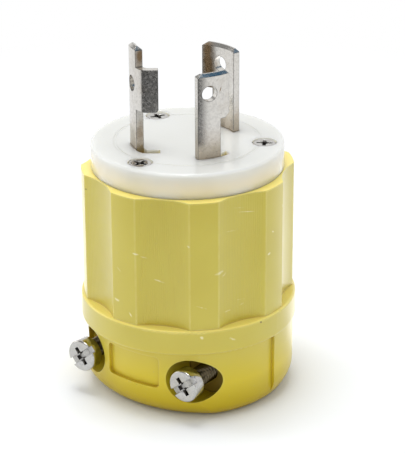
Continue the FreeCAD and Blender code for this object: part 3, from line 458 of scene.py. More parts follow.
@dataclass(frozen=True)
class HousingNylon(MouldedNylon):
    """Yellow housing: draw lines down its flutes, painted highlights along its edges, painted shade in its
    crevices and at its foot, painted light on ledges that face up, scuffs and a few dark specks.
    """

    # Pale lines along the edges: painted highlight where rounded edges catch light
    edge_highlight_colour: str = "#e2d88c"
    edge_highlight_most: float = 0.8
    edge_highlight_least: float = 0.35
    edge_highlight_below: float = 0.25
    edge_highlight_reach: float = 0.45
    edge_highlight_turn: float = 9.0
    edge_highlight_patch: float = 2.5
    # Narrow crevices: painted shade, darker and more orange where light bounces between the walls
    crevice_shade_colour: str = "#c0940a"
    crevice: float = 1.3
    crevice_top: float = 30.0
    # Ledges that face up: painted light from the lamp above
    ledge_light_colour: str = "#f3e277"
    ledge_bottom: float = 15.0
    # Foot: painted shade near the floor, darker and more orange towards the bottom
    foot_shade_colour: str = "#ac9200"
    foot_shade_top: float = 8.0
    rubbed_top: float = 14.0
    scuff_colour: str = "#ece4b4"
    speck_colour: str = "#5b4a14"
    mark_grain: float = 0.5
    band_top: float = 20.8
    line_outside: float = 21.78
    line_inside: float = 21.3
    line_top: float = 48.2
    line_pitch: float = 0.4
    line_depth: float = 0.024
    scuffs: tuple[Mark, ...] = ()
    specks: tuple[Mark, ...] = ()

    def tint(self, tree: Tree, coords: Source) -> Source:
        """Drifting pigment under painted edge highlights, painted crevice shade, painted light on upward
        ledges, painted shade at the foot, scuffs and specks.

        Args:
            tree: Material's tree.
            coords: Object coordinates.

        Returns:
            Colour output.
        """
        return lay_colours(tree, super().tint(tree, coords), [
            (self.painted_edge_highlights(tree, coords), self.edge_highlight_colour),
            (self.painted_crevice_shade(tree, coords), self.crevice_shade_colour),
            (self.painted_ledge_light(tree, coords), self.ledge_light_colour),
            (level_mask(tree, coords, self.foot_shade_top, 0.0), self.foot_shade_colour),
            (mark_mask(tree, coords, self.scuffs, self.mark_grain), self.scuff_colour),
            (mark_mask(tree, coords, self.specks, self.mark_grain), self.speck_colour)])

    def painted_edge_highlights(self, tree: Tree, coords: Source) -> Source:
        """Find edges for a painted highlight, where rounded edges catch light, mostly over the band.

        Args:
            tree: Material's tree.
            coords: Object coordinates.

        Returns:
            Output between 0 and 1.
        """
        ragged = add_node(tree, "ShaderNodeTexNoise", {
            "Vector": coords, "Scale": per_metre(self.edge_highlight_patch), "Detail": 3.0, "Roughness": 0.6})
        kept = add_node(tree, "ShaderNodeMapRange", {
            "Value": ragged, "From Min": 0.35, "From Max": 0.65,
            "To Min": self.edge_highlight_least, "To Max": self.edge_highlight_most})
        barrel = level_mask(tree, coords, self.band_top - 1, self.band_top, least=self.edge_highlight_below)
        return overlap(tree, edge_mask(tree, self.edge_highlight_reach, self.edge_highlight_turn), kept, barrel)

    def painted_crevice_shade(self, tree: Tree, coords: Source) -> Source:
        """Find narrow crevices of the band and the lower housing, for a painted shade that is darker and more
        orange there.

        Args:
            tree: Material's tree.
            coords: Object coordinates.

        Returns:
            Output between 0 and 1.
        """
        under = level_mask(tree, coords, self.crevice_top, self.band_top)
        return overlap(tree, hollow_mask(tree, self.crevice, start=0.75, full=0.15), under)

    def painted_ledge_light(self, tree: Tree, coords: Source) -> Source:
        """Find ledges that face up, for a painted light from above.

        Args:
            tree: Material's tree.
            coords: Object coordinates.

        Returns:
            Output between 0 and 1.
        """
        own = add_node(tree, "ShaderNodeNewGeometry").outputs["True Normal"]
        upward = add_node(tree, "ShaderNodeMapRange", {
            "Value": add_node(tree, "ShaderNodeSeparateXYZ", {0: own}).outputs["Z"],
            "From Min": 0.25, "From Max": 0.75})
        height = add_node(tree, "ShaderNodeSeparateXYZ", {0: coords}).outputs["Z"]
        above = add_node(tree, "ShaderNodeMath", {0: height, 1: self.ledge_bottom * MM},
                         operation="GREATER_THAN")
        return overlap(tree, upward, above)

    def cover(self, tree: Tree, coords: Source) -> Any:
        """Give the glossy skin's share, which is rubbed off towards the foot.

        Args:
            tree: Material's tree.
            coords: Object coordinates.

        Returns:
            Output from 0 to the skin's share.
        """
        return level_mask(tree, coords, 0.0, self.rubbed_top, most=self.skin)

    def relief(self, tree: Tree, coords: Source, soft: Source) -> Source:
        """Grain, soft edges and the upright draw lines of the flutes.

        Args:
            tree: Material's tree.
            coords: Object coordinates.
            soft: Softened normal.

        Returns:
            Normal output.
        """
        parts = add_node(tree, "ShaderNodeSeparateXYZ", {0: coords}).outputs
        flat = add_node(tree, "ShaderNodeCombineXYZ", {"X": parts["X"], "Y": parts["Y"]})
        radius = add_node(tree, "ShaderNodeVectorMath", {0: flat}, operation="LENGTH")
        in_flute = add_node(tree, "ShaderNodeMapRange", {
            "Value": radius.outputs["Value"], "From Min": self.line_outside * MM,
            "From Max": self.line_inside * MM})
        over_band = add_node(tree, "ShaderNodeMath", {0: parts["Z"], 1: self.band_top * MM},
                             operation="GREATER_THAN")
        under_rim = add_node(tree, "ShaderNodeMath", {0: parts["Z"], 1: self.line_top * MM},
                             operation="LESS_THAN")
        turn = add_node(tree, "ShaderNodeMath", {0: parts["Y"], 1: parts["X"]}, operation="ARCTAN2")
        # The real mould's lines are near 0.36 mm apart, and are drawn a little coarser so that they show
        lines = round(2 * math.pi * self.line_inside / self.line_pitch)
        phase = add_node(tree, "ShaderNodeMath", {0: turn, 1: lines}, operation="MULTIPLY")
        wave = add_node(tree, "ShaderNodeMath", {0: phase}, operation="SINE")
        height = overlap(tree, wave, in_flute, over_band, under_rim)
        return add_node(tree, "ShaderNodeBump", {
            "Strength": 1.0, "Distance": self.line_depth * MM, "Height": height,
            "Normal": super().relief(tree, coords, soft)})


@dataclass(frozen=True)
class PlatedMetal:
    """Plated or bare metal with light mottling, stains, fine scratches, and painted shade with some dirt in
    its hollows.
    """

    name: str
    colour: str
    dull_colour: str
    stain_colour: str
    smooth: float
    rough: float
    mottle: float = 0.6
    stain: float = 3.0
    stain_share: float = 0.2
    browning_from: float | None = None
    browning_until: float | None = None
    browning_most: float = 0.7
    mark_colour: str = "#88735a"
    mark_grain: float = 4.0
    marks: tuple[Mark, ...] = ()
    edge_colour: str | None = None
    edge_reach: float = 0.22
    edge_turn: float = 22.0
    hollow_shading_colour: str = "#2b2723"
    hollow: float = 1.0
    scratch: float = 0.35
    scratch_depth: float = 0.0012
    scratch_squeeze: float = 0.12
    edge_round: float = 0.1

    def build(self) -> Material:
        """Build the material.

        Returns:
            The material.
        """
        material, tree = start_material(self.name)
        coords = add_node(tree, "ShaderNodeTexCoord").outputs["Object"]
        mottle = add_node(tree, "ShaderNodeTexNoise", {
            "Vector": coords, "Scale": per_metre(self.mottle), "Detail": 5.0, "Roughness": 0.7})
        dull = add_node(tree, "ShaderNodeMapRange", {"Value": mottle, "From Min": 0.45, "From Max": 0.75})
        coats = [(dull, self.dull_colour), (self.stains(tree, coords), self.stain_colour)]
        hollows = hollow_mask(tree, self.hollow, start=0.85, full=0.3)
        if self.marks:
            coats.append((mark_mask(tree, coords, self.marks, self.mark_grain), self.mark_colour))
        if self.edge_colour is not None:
            coats.append((edge_mask(tree, self.edge_reach, self.edge_turn), self.edge_colour))
        # Painted shade, with some dirt, in the piece's own hollows
        coats.append((hollows, self.hollow_shading_colour))
        rough = add_node(tree, "ShaderNodeMapRange", {
            "Value": dull, "To Min": self.smooth, "To Max": self.rough})
        shader = add_node(tree, "ShaderNodeBsdfPrincipled", {
            "Base Color": lay_colours(tree, linear(self.colour), coats), "Metallic": 1.0,
            "Roughness": rough, "Normal": self.relief(tree, coords, mottle)})
        add_node(tree, "ShaderNodeOutputMaterial", {"Surface": shader})
        return material

    def stains(self, tree: Tree, coords: Source) -> Source:
        """Patches of tarnish, and a brown tint that thickens towards a level where one is given.

        Args:
            tree: Material's tree.
            coords: Object coordinates.

        Returns:
            Output between 0 and 1.
        """
        cloud = add_node(tree, "ShaderNodeTexNoise", {
            "Vector": coords, "Scale": per_metre(self.stain), "Detail": 4.0, "Roughness": 0.6})
        patches = add_node(tree, "ShaderNodeMapRange", {
            "Value": cloud, "From Min": 0.52, "From Max": 0.75, "To Max": self.stain_share})
        if self.browning_from is None:
            return patches
        low = level_mask(tree, coords, self.browning_until, self.browning_from, most=self.browning_most)
        return add_node(tree, "ShaderNodeMath", {0: patches, 1: low}, operation="ADD", use_clamp=True)

    def relief(self, tree: Tree, coords: Source, mottle: Source) -> Source:
        """Soft edges, scratches along the sheet and shallow pits.

        Args:
            tree: Material's tree.
            coords: Object coordinates.
            mottle: Mottling that the pits follow.

        Returns:
            Normal output.
        """
        soft = add_node(tree, "ShaderNodeBevel", {"Radius": self.edge_round * MM}, samples=FEELERS)
        drawn = add_node(tree, "ShaderNodeVectorMath", {0: coords, 1: (1.0, 1.0, self.scratch_squeeze)},
                         operation="MULTIPLY")
        # Rolling scratches are near 0.05 mm wide, and are drawn wider so that they show
        scratches = add_node(tree, "ShaderNodeTexNoise", {
            "Vector": drawn, "Scale": per_metre(self.scratch), "Detail": 2.0, "Roughness": 0.5})
        height = add_node(tree, "ShaderNodeMath", {0: scratches, 1: mottle}, operation="ADD")
        return add_node(tree, "ShaderNodeBump", {
            "Strength": 1.0, "Distance": self.scratch_depth * MM, "Height": height, "Normal": soft})


# Nylon from a mould: satin skin over a body that light sinks into, greener above, and warmer below from a
# painted bounce light off the floor
YELLOW_NYLON = HousingNylon(
    "nylon_moulded_satin_yellow", "#cfc14f", "#c9ba47", "#4e3800", 0.38, low_light_colour="#dac52c",
    low_from=17.5, low_until=8.0, sheen_colour="#ffdf5a", skin=1.0,
    scuffs=(
        Mark(277.8, 36.5, 21.6, 1.4, 0.42, -11, 1.0),
        Mark(281.7, 35.8, 21.4, 1.4, 0.4, -17, 0.6),
        Mark(290.0, 30.7, 20.9, 3.3, 0.4, -17, 0.9),
        Mark(267.1, 32.2, 21.9, 1.3, 0.25, -38, 0.7),
        Mark(265.2, 25.3, 21.9, 1.7, 0.7, -17, 0.6),
        Mark(274.2, 22.9, 21.9, 1.2, 0.35, -53, 1.0),
        Mark(323.1, 33.0, 21.6, 3.0, 0.8, 9, 0.6),
        Mark(326.3, 32.2, 21.2, 1.5, 0.5, 31, 0.5),
        Mark(341.6, 44.5, 20.5, 4.5, 0.3, -8, 0.6),
        Mark(336.8, 45.7, 20.6, 2.8, 0.25, -10, 0.45),
        Mark(330.6, 41.2, 20.5, 4.4, 0.22, -8, 0.45),
        Mark(354.8, 34.4, 21.6, 1.0, 0.55, 14, 1.0),
        Mark(9.2, 31.3, 21.0, 2.8, 0.4, -37, 0.8),
        Mark(357.9, 38.9, 21.9, 0.9, 0.4, -39, 0.7),
        Mark(8.0, 42.9, 21.0, 2.7, 0.9, -47, 0.6),
        Mark(337.3, 25.6, 20.8, 2.9, 0.3, -7, 0.6),
        Mark(338.6, 24.4, 20.8, 1.5, 0.35, 16, 0.6),
        Mark(328.8, 23.9, 20.8, 2.4, 0.3, 0, 0.55),
        Mark(312.6, 26.0, 21.9, 3.0, 0.3, -20, 0.4),
        Mark(313.4, 19.4, 22.5, 0.9, 0.7, -50, 1.0),
        Mark(329.5, 18.4, 22.5, 2.0, 0.5, -30, 0.6),
        Mark(306.7, 39.2, 21.9, 0.7, 0.4, -48, 0.8),
    ),
    specks=(
        Mark(233.8, 45.4, 21.9, 0.8, 0.45, 7, 0.55),
        Mark(347.4, 20.3, 22.5, 0.5, 0.42, -42, 1.0),
        Mark(272.2, 6.2, 21.0, 2.3, 0.3, -10, 0.8),
        Mark(276.2, 6.1, 21.0, 2.2, 0.25, -4, 0.6),
    ),
)
# White nylon from a polished mould: wet-looking skin over a milky body, with a painted warm reflection of the
# yellow rim down its side and in its hollows
WHITE_NYLON = MouldedNylon(
    "nylon_moulded_gloss_white", "#d8d9d6", "#d4d5d1", "#e6dcb4", 0.17, low_light_colour="#f3e8cb",
    low_from=53.6, low_until=50.0, glow=1.0, glow_radius=(1.0, 0.97, 0.9), glow_reach=3.5,
    grain_depth=0.0015, edge_round=0.3)
# Inner mouldings: same nylon, uncoloured and dull
GREY_NYLON = MouldedNylon("nylon_moulded_natural", "#a8a69c", "#9b998f", "#6f6c60", 0.5)
# Jaws of the cord clamp: the housing's yellow, darkened by a painted shade of their chamber
JAW_NYLON_SHADED = MouldedNylon("nylon_moulded_yellow_jaw_painted_shade", "#9c8222", "#8f761c", "#4a3908", 0.5)
# Stamped brass sheet under thin nickel: bright, mottled, dark along its edges, browner towards its foot, with
# a painted reflection on the back blade
BLADE_PLATE = PlatedMetal(
    "nickel_plate_on_stamped_brass", "#d6d3cd", "#bab7b2", "#a08c6e", 0.2, 0.34, hollow=0.5,
    edge_colour="#6e6c6a", scratch_depth=0.002, browning_from=53.0, browning_until=60.5,
    marks=(
        # Painted reflection: the ground blade's brown inner face, mirrored in the back blade's inner face
        Mark(102.0, 67.0, 10.4, 3.8, 22.0, 0, 0.8),
        Mark(340.5, 67.8, 11.8, 1.6, 0.35, 70, 0.9),
        Mark(249.0, 73.4, 10.9, 2.4, 4.4, 0, 0.9),
        Mark(249.0, 57.8, 10.9, 2.4, 8.0, 0, 0.6),
    ),
)
# Rolled and plated steel screws: brighter, cleaner, with painted shade and some dirt in their hollows
SCREW_PLATE = PlatedMetal(
    "nickel_plate_on_rolled_steel", "#c0beba", "#a8a7a5", "#8f8069", 0.14, 0.28, mottle=0.5,
    stain_share=0.15, edge_round=0.07, hollow=1.3)
# Rolled threads of the same screws: a darker, browner copy of the plating, which paints the shade of the
# pocket they sit in
SCREW_THREAD_SHADED = PlatedMetal(
    "nickel_plate_on_rolled_thread_painted_shade", "#665c47", "#36301f", "#4a3a20", 0.16, 0.34, mottle=0.5,
    stain_share=0.4, edge_round=0.05, hollow=0.6)
# Turned or stamped brass without plating
BARE_BRASS = PlatedMetal("brass_turned_bright", "#d8b368", "#b8904a", "#7d5a30", 0.2, 0.38)
# Steel with the green passivation that marks the ground terminal
GREEN_STEEL = PlatedMetal("steel_green_passivated", "#5f8f5c", "#466f45", "#3f4a2c", 0.28, 0.45)

FINISHES = {
    Slot.HOUSING: YELLOW_NYLON,
    Slot.FACE: WHITE_NYLON,
    Slot.INNER: GREY_NYLON,
    Slot.JAW: JAW_NYLON_SHADED,
    Slot.BLADE: BLADE_PLATE,
    Slot.SCREW: SCREW_PLATE,
    Slot.BRASS: BARE_BRASS,
    Slot.GREEN: GREEN_STEEL,
}


def dress(obj: Object, material: Material) -> None:
    """Give an object one material."""
    obj.data.materials.clear()
    obj.data.materials.append(material)


def dress_nodes(names: tuple[str, ...], finish: Material) -> None:
    """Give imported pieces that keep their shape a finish.

    Args:
        names: Nodes of the pieces.
        finish: Material of the pieces.
    """
    for name in names:
        dress(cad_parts[name], finish)
        LOG.info("%s: %s", name, finish.name)


class ThreadTree:
    """Geometry Nodes tree of a rolled thread on a round shank, ending in a bevelled tip."""

    INPUTS = (
        ("Radius", "NodeSocketFloat"),
        ("Length", "NodeSocketFloat"),
        ("Pitch", "NodeSocketFloat"),
        ("Depth", "NodeSocketFloat"),
        ("Tip", "NodeSocketFloat"),
        ("Around", "NodeSocketInt"),
        ("Rows", "NodeSocketInt"),
        ("Finish", "NodeSocketMaterial"),
    )

    # Places in half a pitch where the rolled crest ends and where the root starts
    CREST = 0.06
    ROOT = 0.42

    # Corners closer than this are one
    WELD = 0.002

    def __init__(self) -> None:
        """Build the tree."""
        self.tree = bpy.data.node_groups.new("rolled_thread", "GeometryNodeTree")
        self.identifiers: dict[str, str] = {}
        for name, kind in self.INPUTS:
            socket = self.tree.interface.new_socket(name, in_out="INPUT", socket_type=kind)
            self.identifiers[name] = socket.identifier
        self.tree.interface.new_socket("Mesh", in_out="OUTPUT", socket_type="NodeSocketGeometry")
        self.wire()

    def wire(self) -> None:
        """Roll a flat grid into the thread, close its tip and turn its faces outwards."""
        tree = self.tree
        given = add_node(tree, "NodeGroupInput").outputs
        columns = add_node(tree, "ShaderNodeMath", {0: given["Around"], 1: 1.0})
        grid = add_node(tree, "GeometryNodeMeshGrid", {
            "Size X": 1.0, "Size Y": 1.0, "Vertices X": columns, "Vertices Y": given["Rows"]})
        centred = add_node(tree, "ShaderNodeVectorMath", {
            0: add_node(tree, "GeometryNodeInputPosition"), 1: (0.5, 0.5, 0.0)})
        share = add_node(tree, "ShaderNodeSeparateXYZ", {0: centred}).outputs
        turn = add_node(tree, "ShaderNodeMath", {0: share["X"], 1: 2 * math.pi}, operation="MULTIPLY")
        down = add_node(tree, "ShaderNodeMath", {0: share["Y"], 1: given["Length"]}, operation="MULTIPLY")
        radius = self.profile(given, share, down)
        spots = {"Z": add_node(tree, "ShaderNodeMath", {0: down, 1: -1.0}, operation="MULTIPLY")}
        for axis, operation in (("X", "COSINE"), ("Y", "SINE")):
            round_axis = add_node(tree, "ShaderNodeMath", {0: turn}, operation=operation)
            spots[axis] = add_node(tree, "ShaderNodeMath", {0: radius, 1: round_axis}, operation="MULTIPLY")
        point = add_node(tree, "ShaderNodeCombineXYZ", spots)
        tube = add_node(tree, "GeometryNodeSetPosition", {
            "Geometry": grid.outputs["Mesh"], "Position": point})
        disc = add_node(tree, "GeometryNodeMeshCircle", {"Vertices": given["Around"], "Radius": given["Tip"]},
                        fill_type="NGON")
        deep = add_node(tree, "ShaderNodeMath", {0: given["Length"], 1: -1.0}, operation="MULTIPLY")
        low = add_node(tree, "ShaderNodeCombineXYZ", {"Z": deep})
        cap = add_node(tree, "GeometryNodeTransform", {"Geometry": disc.outputs["Mesh"], "Translation": low})
        both = add_node(tree, "GeometryNodeJoinGeometry")
        for part in (tube, cap):
            tree.links.new(part.outputs[0], both.inputs[0])
        welded = add_node(tree, "GeometryNodeMergeByDistance", {"Geometry": both, "Distance": self.WELD * MM})
        outwards = add_node(tree, "GeometryNodeFlipFaces", {"Mesh": welded})
        smooth = add_node(tree, "GeometryNodeSetShadeSmooth", {"Geometry": outwards})
        real = add_node(tree, "GeometryNodeRealizeInstances", {"Geometry": smooth})
        dressed = add_node(tree, "GeometryNodeSetMaterial", {"Geometry": real, "Material": given["Finish"]})
        add_node(tree, "NodeGroupOutput", {0: dressed})

    def profile(self, given: Any, share: Any, down: Source) -> Source:
        """Work out the shank's radius: thread's ridge and groove, cut off by the tip's bevel.

        Args:
            given: Outputs of the tree's named inputs.
            share: Place on the grid, from 0 to 1 around and along.
            down: Distance under the head.

        Returns:
            Radius in metres.
        """
        tree = self.tree
        turns = add_node(tree, "ShaderNodeMath", {0: down, 1: given["Pitch"]}, operation="DIVIDE")
        phase = add_node(tree, "ShaderNodeMath", {0: turns, 1: share["X"]})
        ridge = add_node(tree, "ShaderNodeMath", {0: phase, 1: 0.5}, operation="PINGPONG")
        rolled = add_node(tree, "ShaderNodeMapRange", {
            "Value": ridge, "From Min": self.CREST, "From Max": self.ROOT, "To Max": given["Depth"]})
        thread = add_node(tree, "ShaderNodeMath", {0: given["Radius"], 1: rolled}, operation="SUBTRACT")
        left = add_node(tree, "ShaderNodeMath", {0: given["Length"], 1: down}, operation="SUBTRACT")
        taper = add_node(tree, "ShaderNodeMath", {0: given["Tip"], 1: left})
        return add_node(tree, "ShaderNodeMath", {0: thread, 1: taper}, operation="MINIMUM")

    def make(self, values: dict[str, Any]) -> Mesh:
        """Make one threaded shank, which hangs from the origin along -Z.

        Args:
            values: Value of each named input.

        Returns:
            A plain mesh.
        """
        carrier = place("thread", bpy.data.meshes.new("thread"))
        modifier = carrier.modifiers.new("thread", "NODES")
        modifier.node_group = self.tree
        for name, value in values.items():
            modifier[self.identifiers[name]] = value
        return settle(carrier, modifier)


@dataclass(frozen=True)
class ScrewSize:
    """Sizes of one kind of screw."""

    head_height: float
    shank_radius: float
    length: float
    pitch: float
    thread_depth: float
    around: int = 32
    rows_per_turn: int = 6
    edge: float = 0.05
    overlap: float = 0.2
    tip_share: float = 0.75


@dataclass
class Screw:
    """A screw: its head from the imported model, on a shank with a real thread."""

    node: str
    body: str
    slot: Slot
    direction: Vector
    size: ScrewSize
    weld: float = 0.0005
    top_band: float = 0.01
    cut_under: float = 0.05

    def build(self, threads: ThreadTree, finish: Material, thread_finish: Material) -> Object:
        """Build the screw and put it in its node's place.

        Args:
            threads: Tree that rolls the shank.
            finish: Material of the head.
            thread_finish: Material of the shank.

        Returns:
            The screw.
        """
        seat = self.seat()
        head = self.head(seat)
        shape = bmesh.new()
        shape.from_mesh(head)
        shape.from_mesh(self.shank(threads, seat, thread_finish))
        mesh = bake(self.node + "_threaded", shape)
        mesh.set_sharp_from_angle(angle=EDGE_ANGLE)
        screw = place(self.node + "_threaded", mesh)
        dress(screw, finish)
        mesh.materials.append(thread_finish)
        for polygon in mesh.polygons[len(head.polygons):]:
            polygon.material_index = 1
        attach(screw, self.body)
        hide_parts(self.node)
        LOG.info("%s: %d faces", screw.name, len(mesh.polygons))
        return screw

    def seat(self) -> Vector:
        """Find the middle of the head's underside.

        Returns:
            Point in metres.
        """
        points = [vertex.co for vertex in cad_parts[self.node].data.vertices]
        far = max(point.dot(self.direction) for point in points)
        tops = [point for point in points if far - point.dot(self.direction) < self.top_band * MM]
        middle = self.direction * (far - self.size.head_height * MM)
        side = self.direction.orthogonal().normalized()
        for axis in (side, self.direction.cross(side)):
            reaches = [point.dot(axis) for point in tops]
            middle += axis * (max(reaches) + min(reaches)) / 2
        return middle

    def head(self, seat: Vector) -> Mesh:
        """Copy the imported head, with its edges a little rounded.

        Args:
            seat: Middle of the head's underside.

        Returns:
            Mesh of the head, open where the shank joins it.
        """
        shape = bmesh.new()
        shape.from_mesh(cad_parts[self.node].data)
        bmesh.ops.remove_doubles(shape, verts=shape.verts, dist=self.weld * MM)
        level = seat.dot(self.direction) - self.cut_under * MM
        below = [face for face in shape.faces if face.calc_center_median().dot(self.direction) < level]
        bmesh.ops.delete(shape, geom=below, context="FACES")
        bmesh.ops.dissolve_limit(shape, angle_limit=FLAT_ANGLE, verts=shape.verts, edges=shape.edges)
        mesh = bake(self.node + "_head", shape)
        mesh.shade_smooth()
        carrier = place(self.node + "_head", mesh)
        soften = carrier.modifiers.new("soft_edges", "BEVEL")
        soften.width = self.size.edge * MM
        soften.segments = 2
        soften.limit_method = "ANGLE"
        soften.angle_limit = EDGE_ANGLE
        return settle(carrier, soften)

    def shank(self, threads: ThreadTree, seat: Vector, finish: Material) -> Mesh:
        """Roll the shank and hang it from its head.

        Args:
            threads: Tree that rolls the shank.
            seat: Middle of the head's underside.
            finish: Material of the shank.

        Returns:
            Mesh of the shank.
        """
        size = self.size
        shank = threads.make({
            "Radius": size.shank_radius * MM, "Length": (size.length + size.overlap) * MM,
            "Pitch": size.pitch * MM, "Depth": size.thread_depth * MM,
            "Tip": size.shank_radius * size.tip_share * MM, "Around": size.around,
            "Rows": int(size.length / size.pitch * size.rows_per_turn) + 1, "Finish": finish})
        turned = self.direction.to_track_quat("Z", "Y").to_matrix().to_4x4()
        shank.transform(Matrix.Translation(seat + self.direction * size.overlap * MM) @ turned)
        return shank


@dataclass
class Mouldings:
    """Housing, white face and terminal block."""

    def build(self, finishes: dict[Slot, Material]) -> None:
        """Dress the three mouldings.

        Args:
            finishes: Material of each slot.
        """
        for name, slot in (("shell", Slot.HOUSING), ("face", Slot.FACE), ("terminal_block", Slot.INNER)):
            dress_nodes((name,), finishes[slot])


@dataclass
class Contacts:
    """Three blades with their wire screws and pressure plates."""

    screw: ScrewSize = ScrewSize(head_height=1.9, shank_radius=1.75, length=6.2, pitch=0.7,
                                 thread_depth=0.35)

    def build(self, threads: ThreadTree, finishes: dict[Slot, Material]) -> None:
        """Dress the blades and plates, and build the wire screws.

        Args:
            threads: Tree that rolls the shanks.
            finishes: Material of each slot.
        """
        dress_nodes(("blade_line_front", "blade_line_back", "blade_ground"), finishes[Slot.BLADE])
        for name, slot in (("front", Slot.BRASS), ("back", Slot.SCREW), ("ground", Slot.GREEN)):
            plate = "pressure_plate_" + name
            dress_nodes((plate,), finishes[Slot.BRASS])
            low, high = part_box(plate)
            outwards = (Vector(low) + Vector(high)) / 2
            outwards.z = 0
            Screw("terminal_screw_" + name, "housing", slot, outwards.normalized(), self.screw).build(
                threads, finishes[slot], finishes[slot])


@dataclass
class FaceScrews:
    """Three flush cross-head screws that hold the face, the block and the housing together."""

    screw: ScrewSize = ScrewSize(head_height=1.5, shank_radius=1.5, length=27.5, pitch=0.7,
                                 thread_depth=0.3)

    def build(self, threads: ThreadTree, finishes: dict[Slot, Material]) -> None:
        """Build the screws and dress their inserts.

        Args:
            threads: Tree that rolls the shanks.
            finishes: Material of each slot.
        """
        finish = finishes[Slot.SCREW]
        for side in ("front", "right", "back"):
            dress_nodes(("shell_insert_" + side,), finishes[Slot.BRASS])
            Screw("assembly_screw_" + side, "housing", Slot.SCREW, Vector((0, 0, 1)), self.screw).build(
                threads, finish, finish)


@dataclass
class CordClamp:
    """Two jaws in the lower housing, closed by two screws with slot and cross."""

    screw: ScrewSize = ScrewSize(head_height=2.7, shank_radius=2.08, length=19.0, pitch=0.79,
                                 thread_depth=0.42, around=48, rows_per_turn=8, edge=0.07)

    def build(self, threads: ThreadTree, finishes: dict[Slot, Material]) -> None:
        """Dress the jaws and nuts, and build the screws.

        Args:
            threads: Tree that rolls the shanks.
            finishes: Material of each slot.
        """
        dress_nodes(("clamp_jaw_front", "clamp_jaw_back"), finishes[Slot.JAW])
        dress_nodes(("clamp_nut_left", "clamp_nut_right"), finishes[Slot.SCREW])
        # The shanks sit in the shade of their pocket, which their darker material paints
        thread_finish = SCREW_THREAD_SHADED.build()
        for side in ("left", "right"):
            Screw("clamp_screw_" + side, "screw_" + side, Slot.SCREW, Vector((0, -1, 0)), self.screw).build(
                threads, finishes[Slot.SCREW], thread_finish)


@dataclass(frozen=True)
class Camera:
    """Camera at the photograph's viewing angle."""

    azimuth: float = 36.2393
    elevation: float = 23.0614
    roll: float = -0.2394
    distance: float = 426.488
    aim_right: float = 3.00058
    aim_height: float = 34.28694
    lens: float = 162.77
    sensor: float = 36.0
    clip_near: float = 10.0
    clip_far: float = 10000.0

    def build(self) -> Object:
        """Create the camera and make it the scene's own.

        Returns:
            The camera.
        """
        turn = math.radians(self.azimuth)
        rise = math.radians(self.elevation)
        tilt = math.radians(self.roll)
        back = Vector((math.sin(turn) * math.cos(rise), -math.cos(turn) * math.cos(rise), math.sin(rise)))
        right = Vector((math.cos(turn), math.sin(turn), 0))
        up = back.cross(right)
        across = right * math.cos(tilt) + up * math.sin(tilt)
        upward = up * math.cos(tilt) - right * math.sin(tilt)
        aim = right * self.aim_right + Vector((0, 0, self.aim_height))
        data = bpy.data.cameras.new("Camera")
        data.sensor_width = self.sensor
        data.lens = self.lens
        data.clip_start = self.clip_near * MM
        data.clip_end = self.clip_far * MM
        camera = place("Camera", data)
        turned = Matrix((across, upward, back)).transposed().to_4x4()
        camera.matrix_world = Matrix.Translation((aim + back * self.distance) * MM) @ turned
        bpy.context.scene.camera = camera
        return camera


@dataclass(frozen=True)
class Softbox:
    """Large soft lamp."""

    name: str
    place: tuple[float, float, float]
    size: tuple[float, float]
    power: float

    def build(self, target: Vector) -> Object:
        """Create the lamp and aim it.

        Args:
            target: Point that it faces, in metres.

        Returns:
            The lamp.
        """
        data = bpy.data.lights.new(self.name, "AREA")
        data.shape = "RECTANGLE"
        data.size = self.size[0] * MM
        data.size_y = self.size[1] * MM
        data.energy = self.power
        lamp = place(self.name, data)
        lamp.location = Vector(self.place) * MM
        lamp.rotation_mode = "QUATERNION"
        lamp.rotation_quaternion = (lamp.location - target).to_track_quat("Z", "Y")
        return lamp


@dataclass(frozen=True)
class Card:
    """Card on the studio's floor or over the object that shows only in reflections.

    Its outline is a sector of a ring round the object's axis, and its two sides fade out.
    """

    name: str
    turn_from: float
    turn_to: float
    near: float
    far: float
    colour: str
    level: float = 1.0
    height: float = 1.0
    soft_share: float = 0.35
    steps: int = 12

    def build(self) -> Object:
        """Create the card.

        Returns:
            The card.
        """
        shape = bmesh.new()
        rows = []
        for reach in (self.near, self.far):
            row = []
            for step in range(self.steps + 1):
                turn = math.radians(self.turn_from + (self.turn_to - self.turn_from) * step / self.steps)
                corner = Vector((reach * math.cos(turn), reach * math.sin(turn), self.height))
                row.append(shape.verts.new(corner * MM))
            rows.append(row)
        for step in range(self.steps):
            shape.faces.new((rows[0][step], rows[1][step], rows[1][step + 1], rows[0][step + 1]))
        mesh = bake(self.name, shape)
        mesh.materials.append(self.board())
        card = place(self.name, mesh)
        for ray in ("camera", "diffuse", "shadow", "transmission"):
            setattr(card, "visible_" + ray, False)
        return card

    def board(self) -> Material:
        """Build the card's surface, which shines evenly and is clear at both sides.

        Returns:
            The material.
        """
        material, tree = start_material(self.name + "_board")
        glow = add_node(tree, "ShaderNodeEmission", {"Color": linear(self.colour), "Strength": self.level})
        clear = add_node(tree, "ShaderNodeBsdfTransparent")
        middle = math.radians((self.turn_from + self.turn_to) / 2)
        half = math.radians((self.turn_to - self.turn_from) / 2)
        coords = add_node(tree, "ShaderNodeTexCoord").outputs["Object"]
        along = add_node(tree, "ShaderNodeVectorRotate", {"Vector": coords, "Angle": -middle},
                         rotation_type="Z_AXIS")
        parts = add_node(tree, "ShaderNodeSeparateXYZ", {0: along}).outputs
        turn = add_node(tree, "ShaderNodeMath", {0: parts["Y"], 1: parts["X"]}, operation="ARCTAN2")
        aside = add_node(tree, "ShaderNodeMath", {0: turn}, operation="ABSOLUTE")
        faded = add_node(tree, "ShaderNodeMapRange", {
            "Value": aside, "From Min": half * (1 - self.soft_share), "From Max": half},
            interpolation_type="SMOOTHSTEP")
        mixed = add_node(tree, "ShaderNodeMixShader", {0: faded, 1: glow, 2: clear})
        add_node(tree, "ShaderNodeOutputMaterial", {"Surface": mixed})
        return material


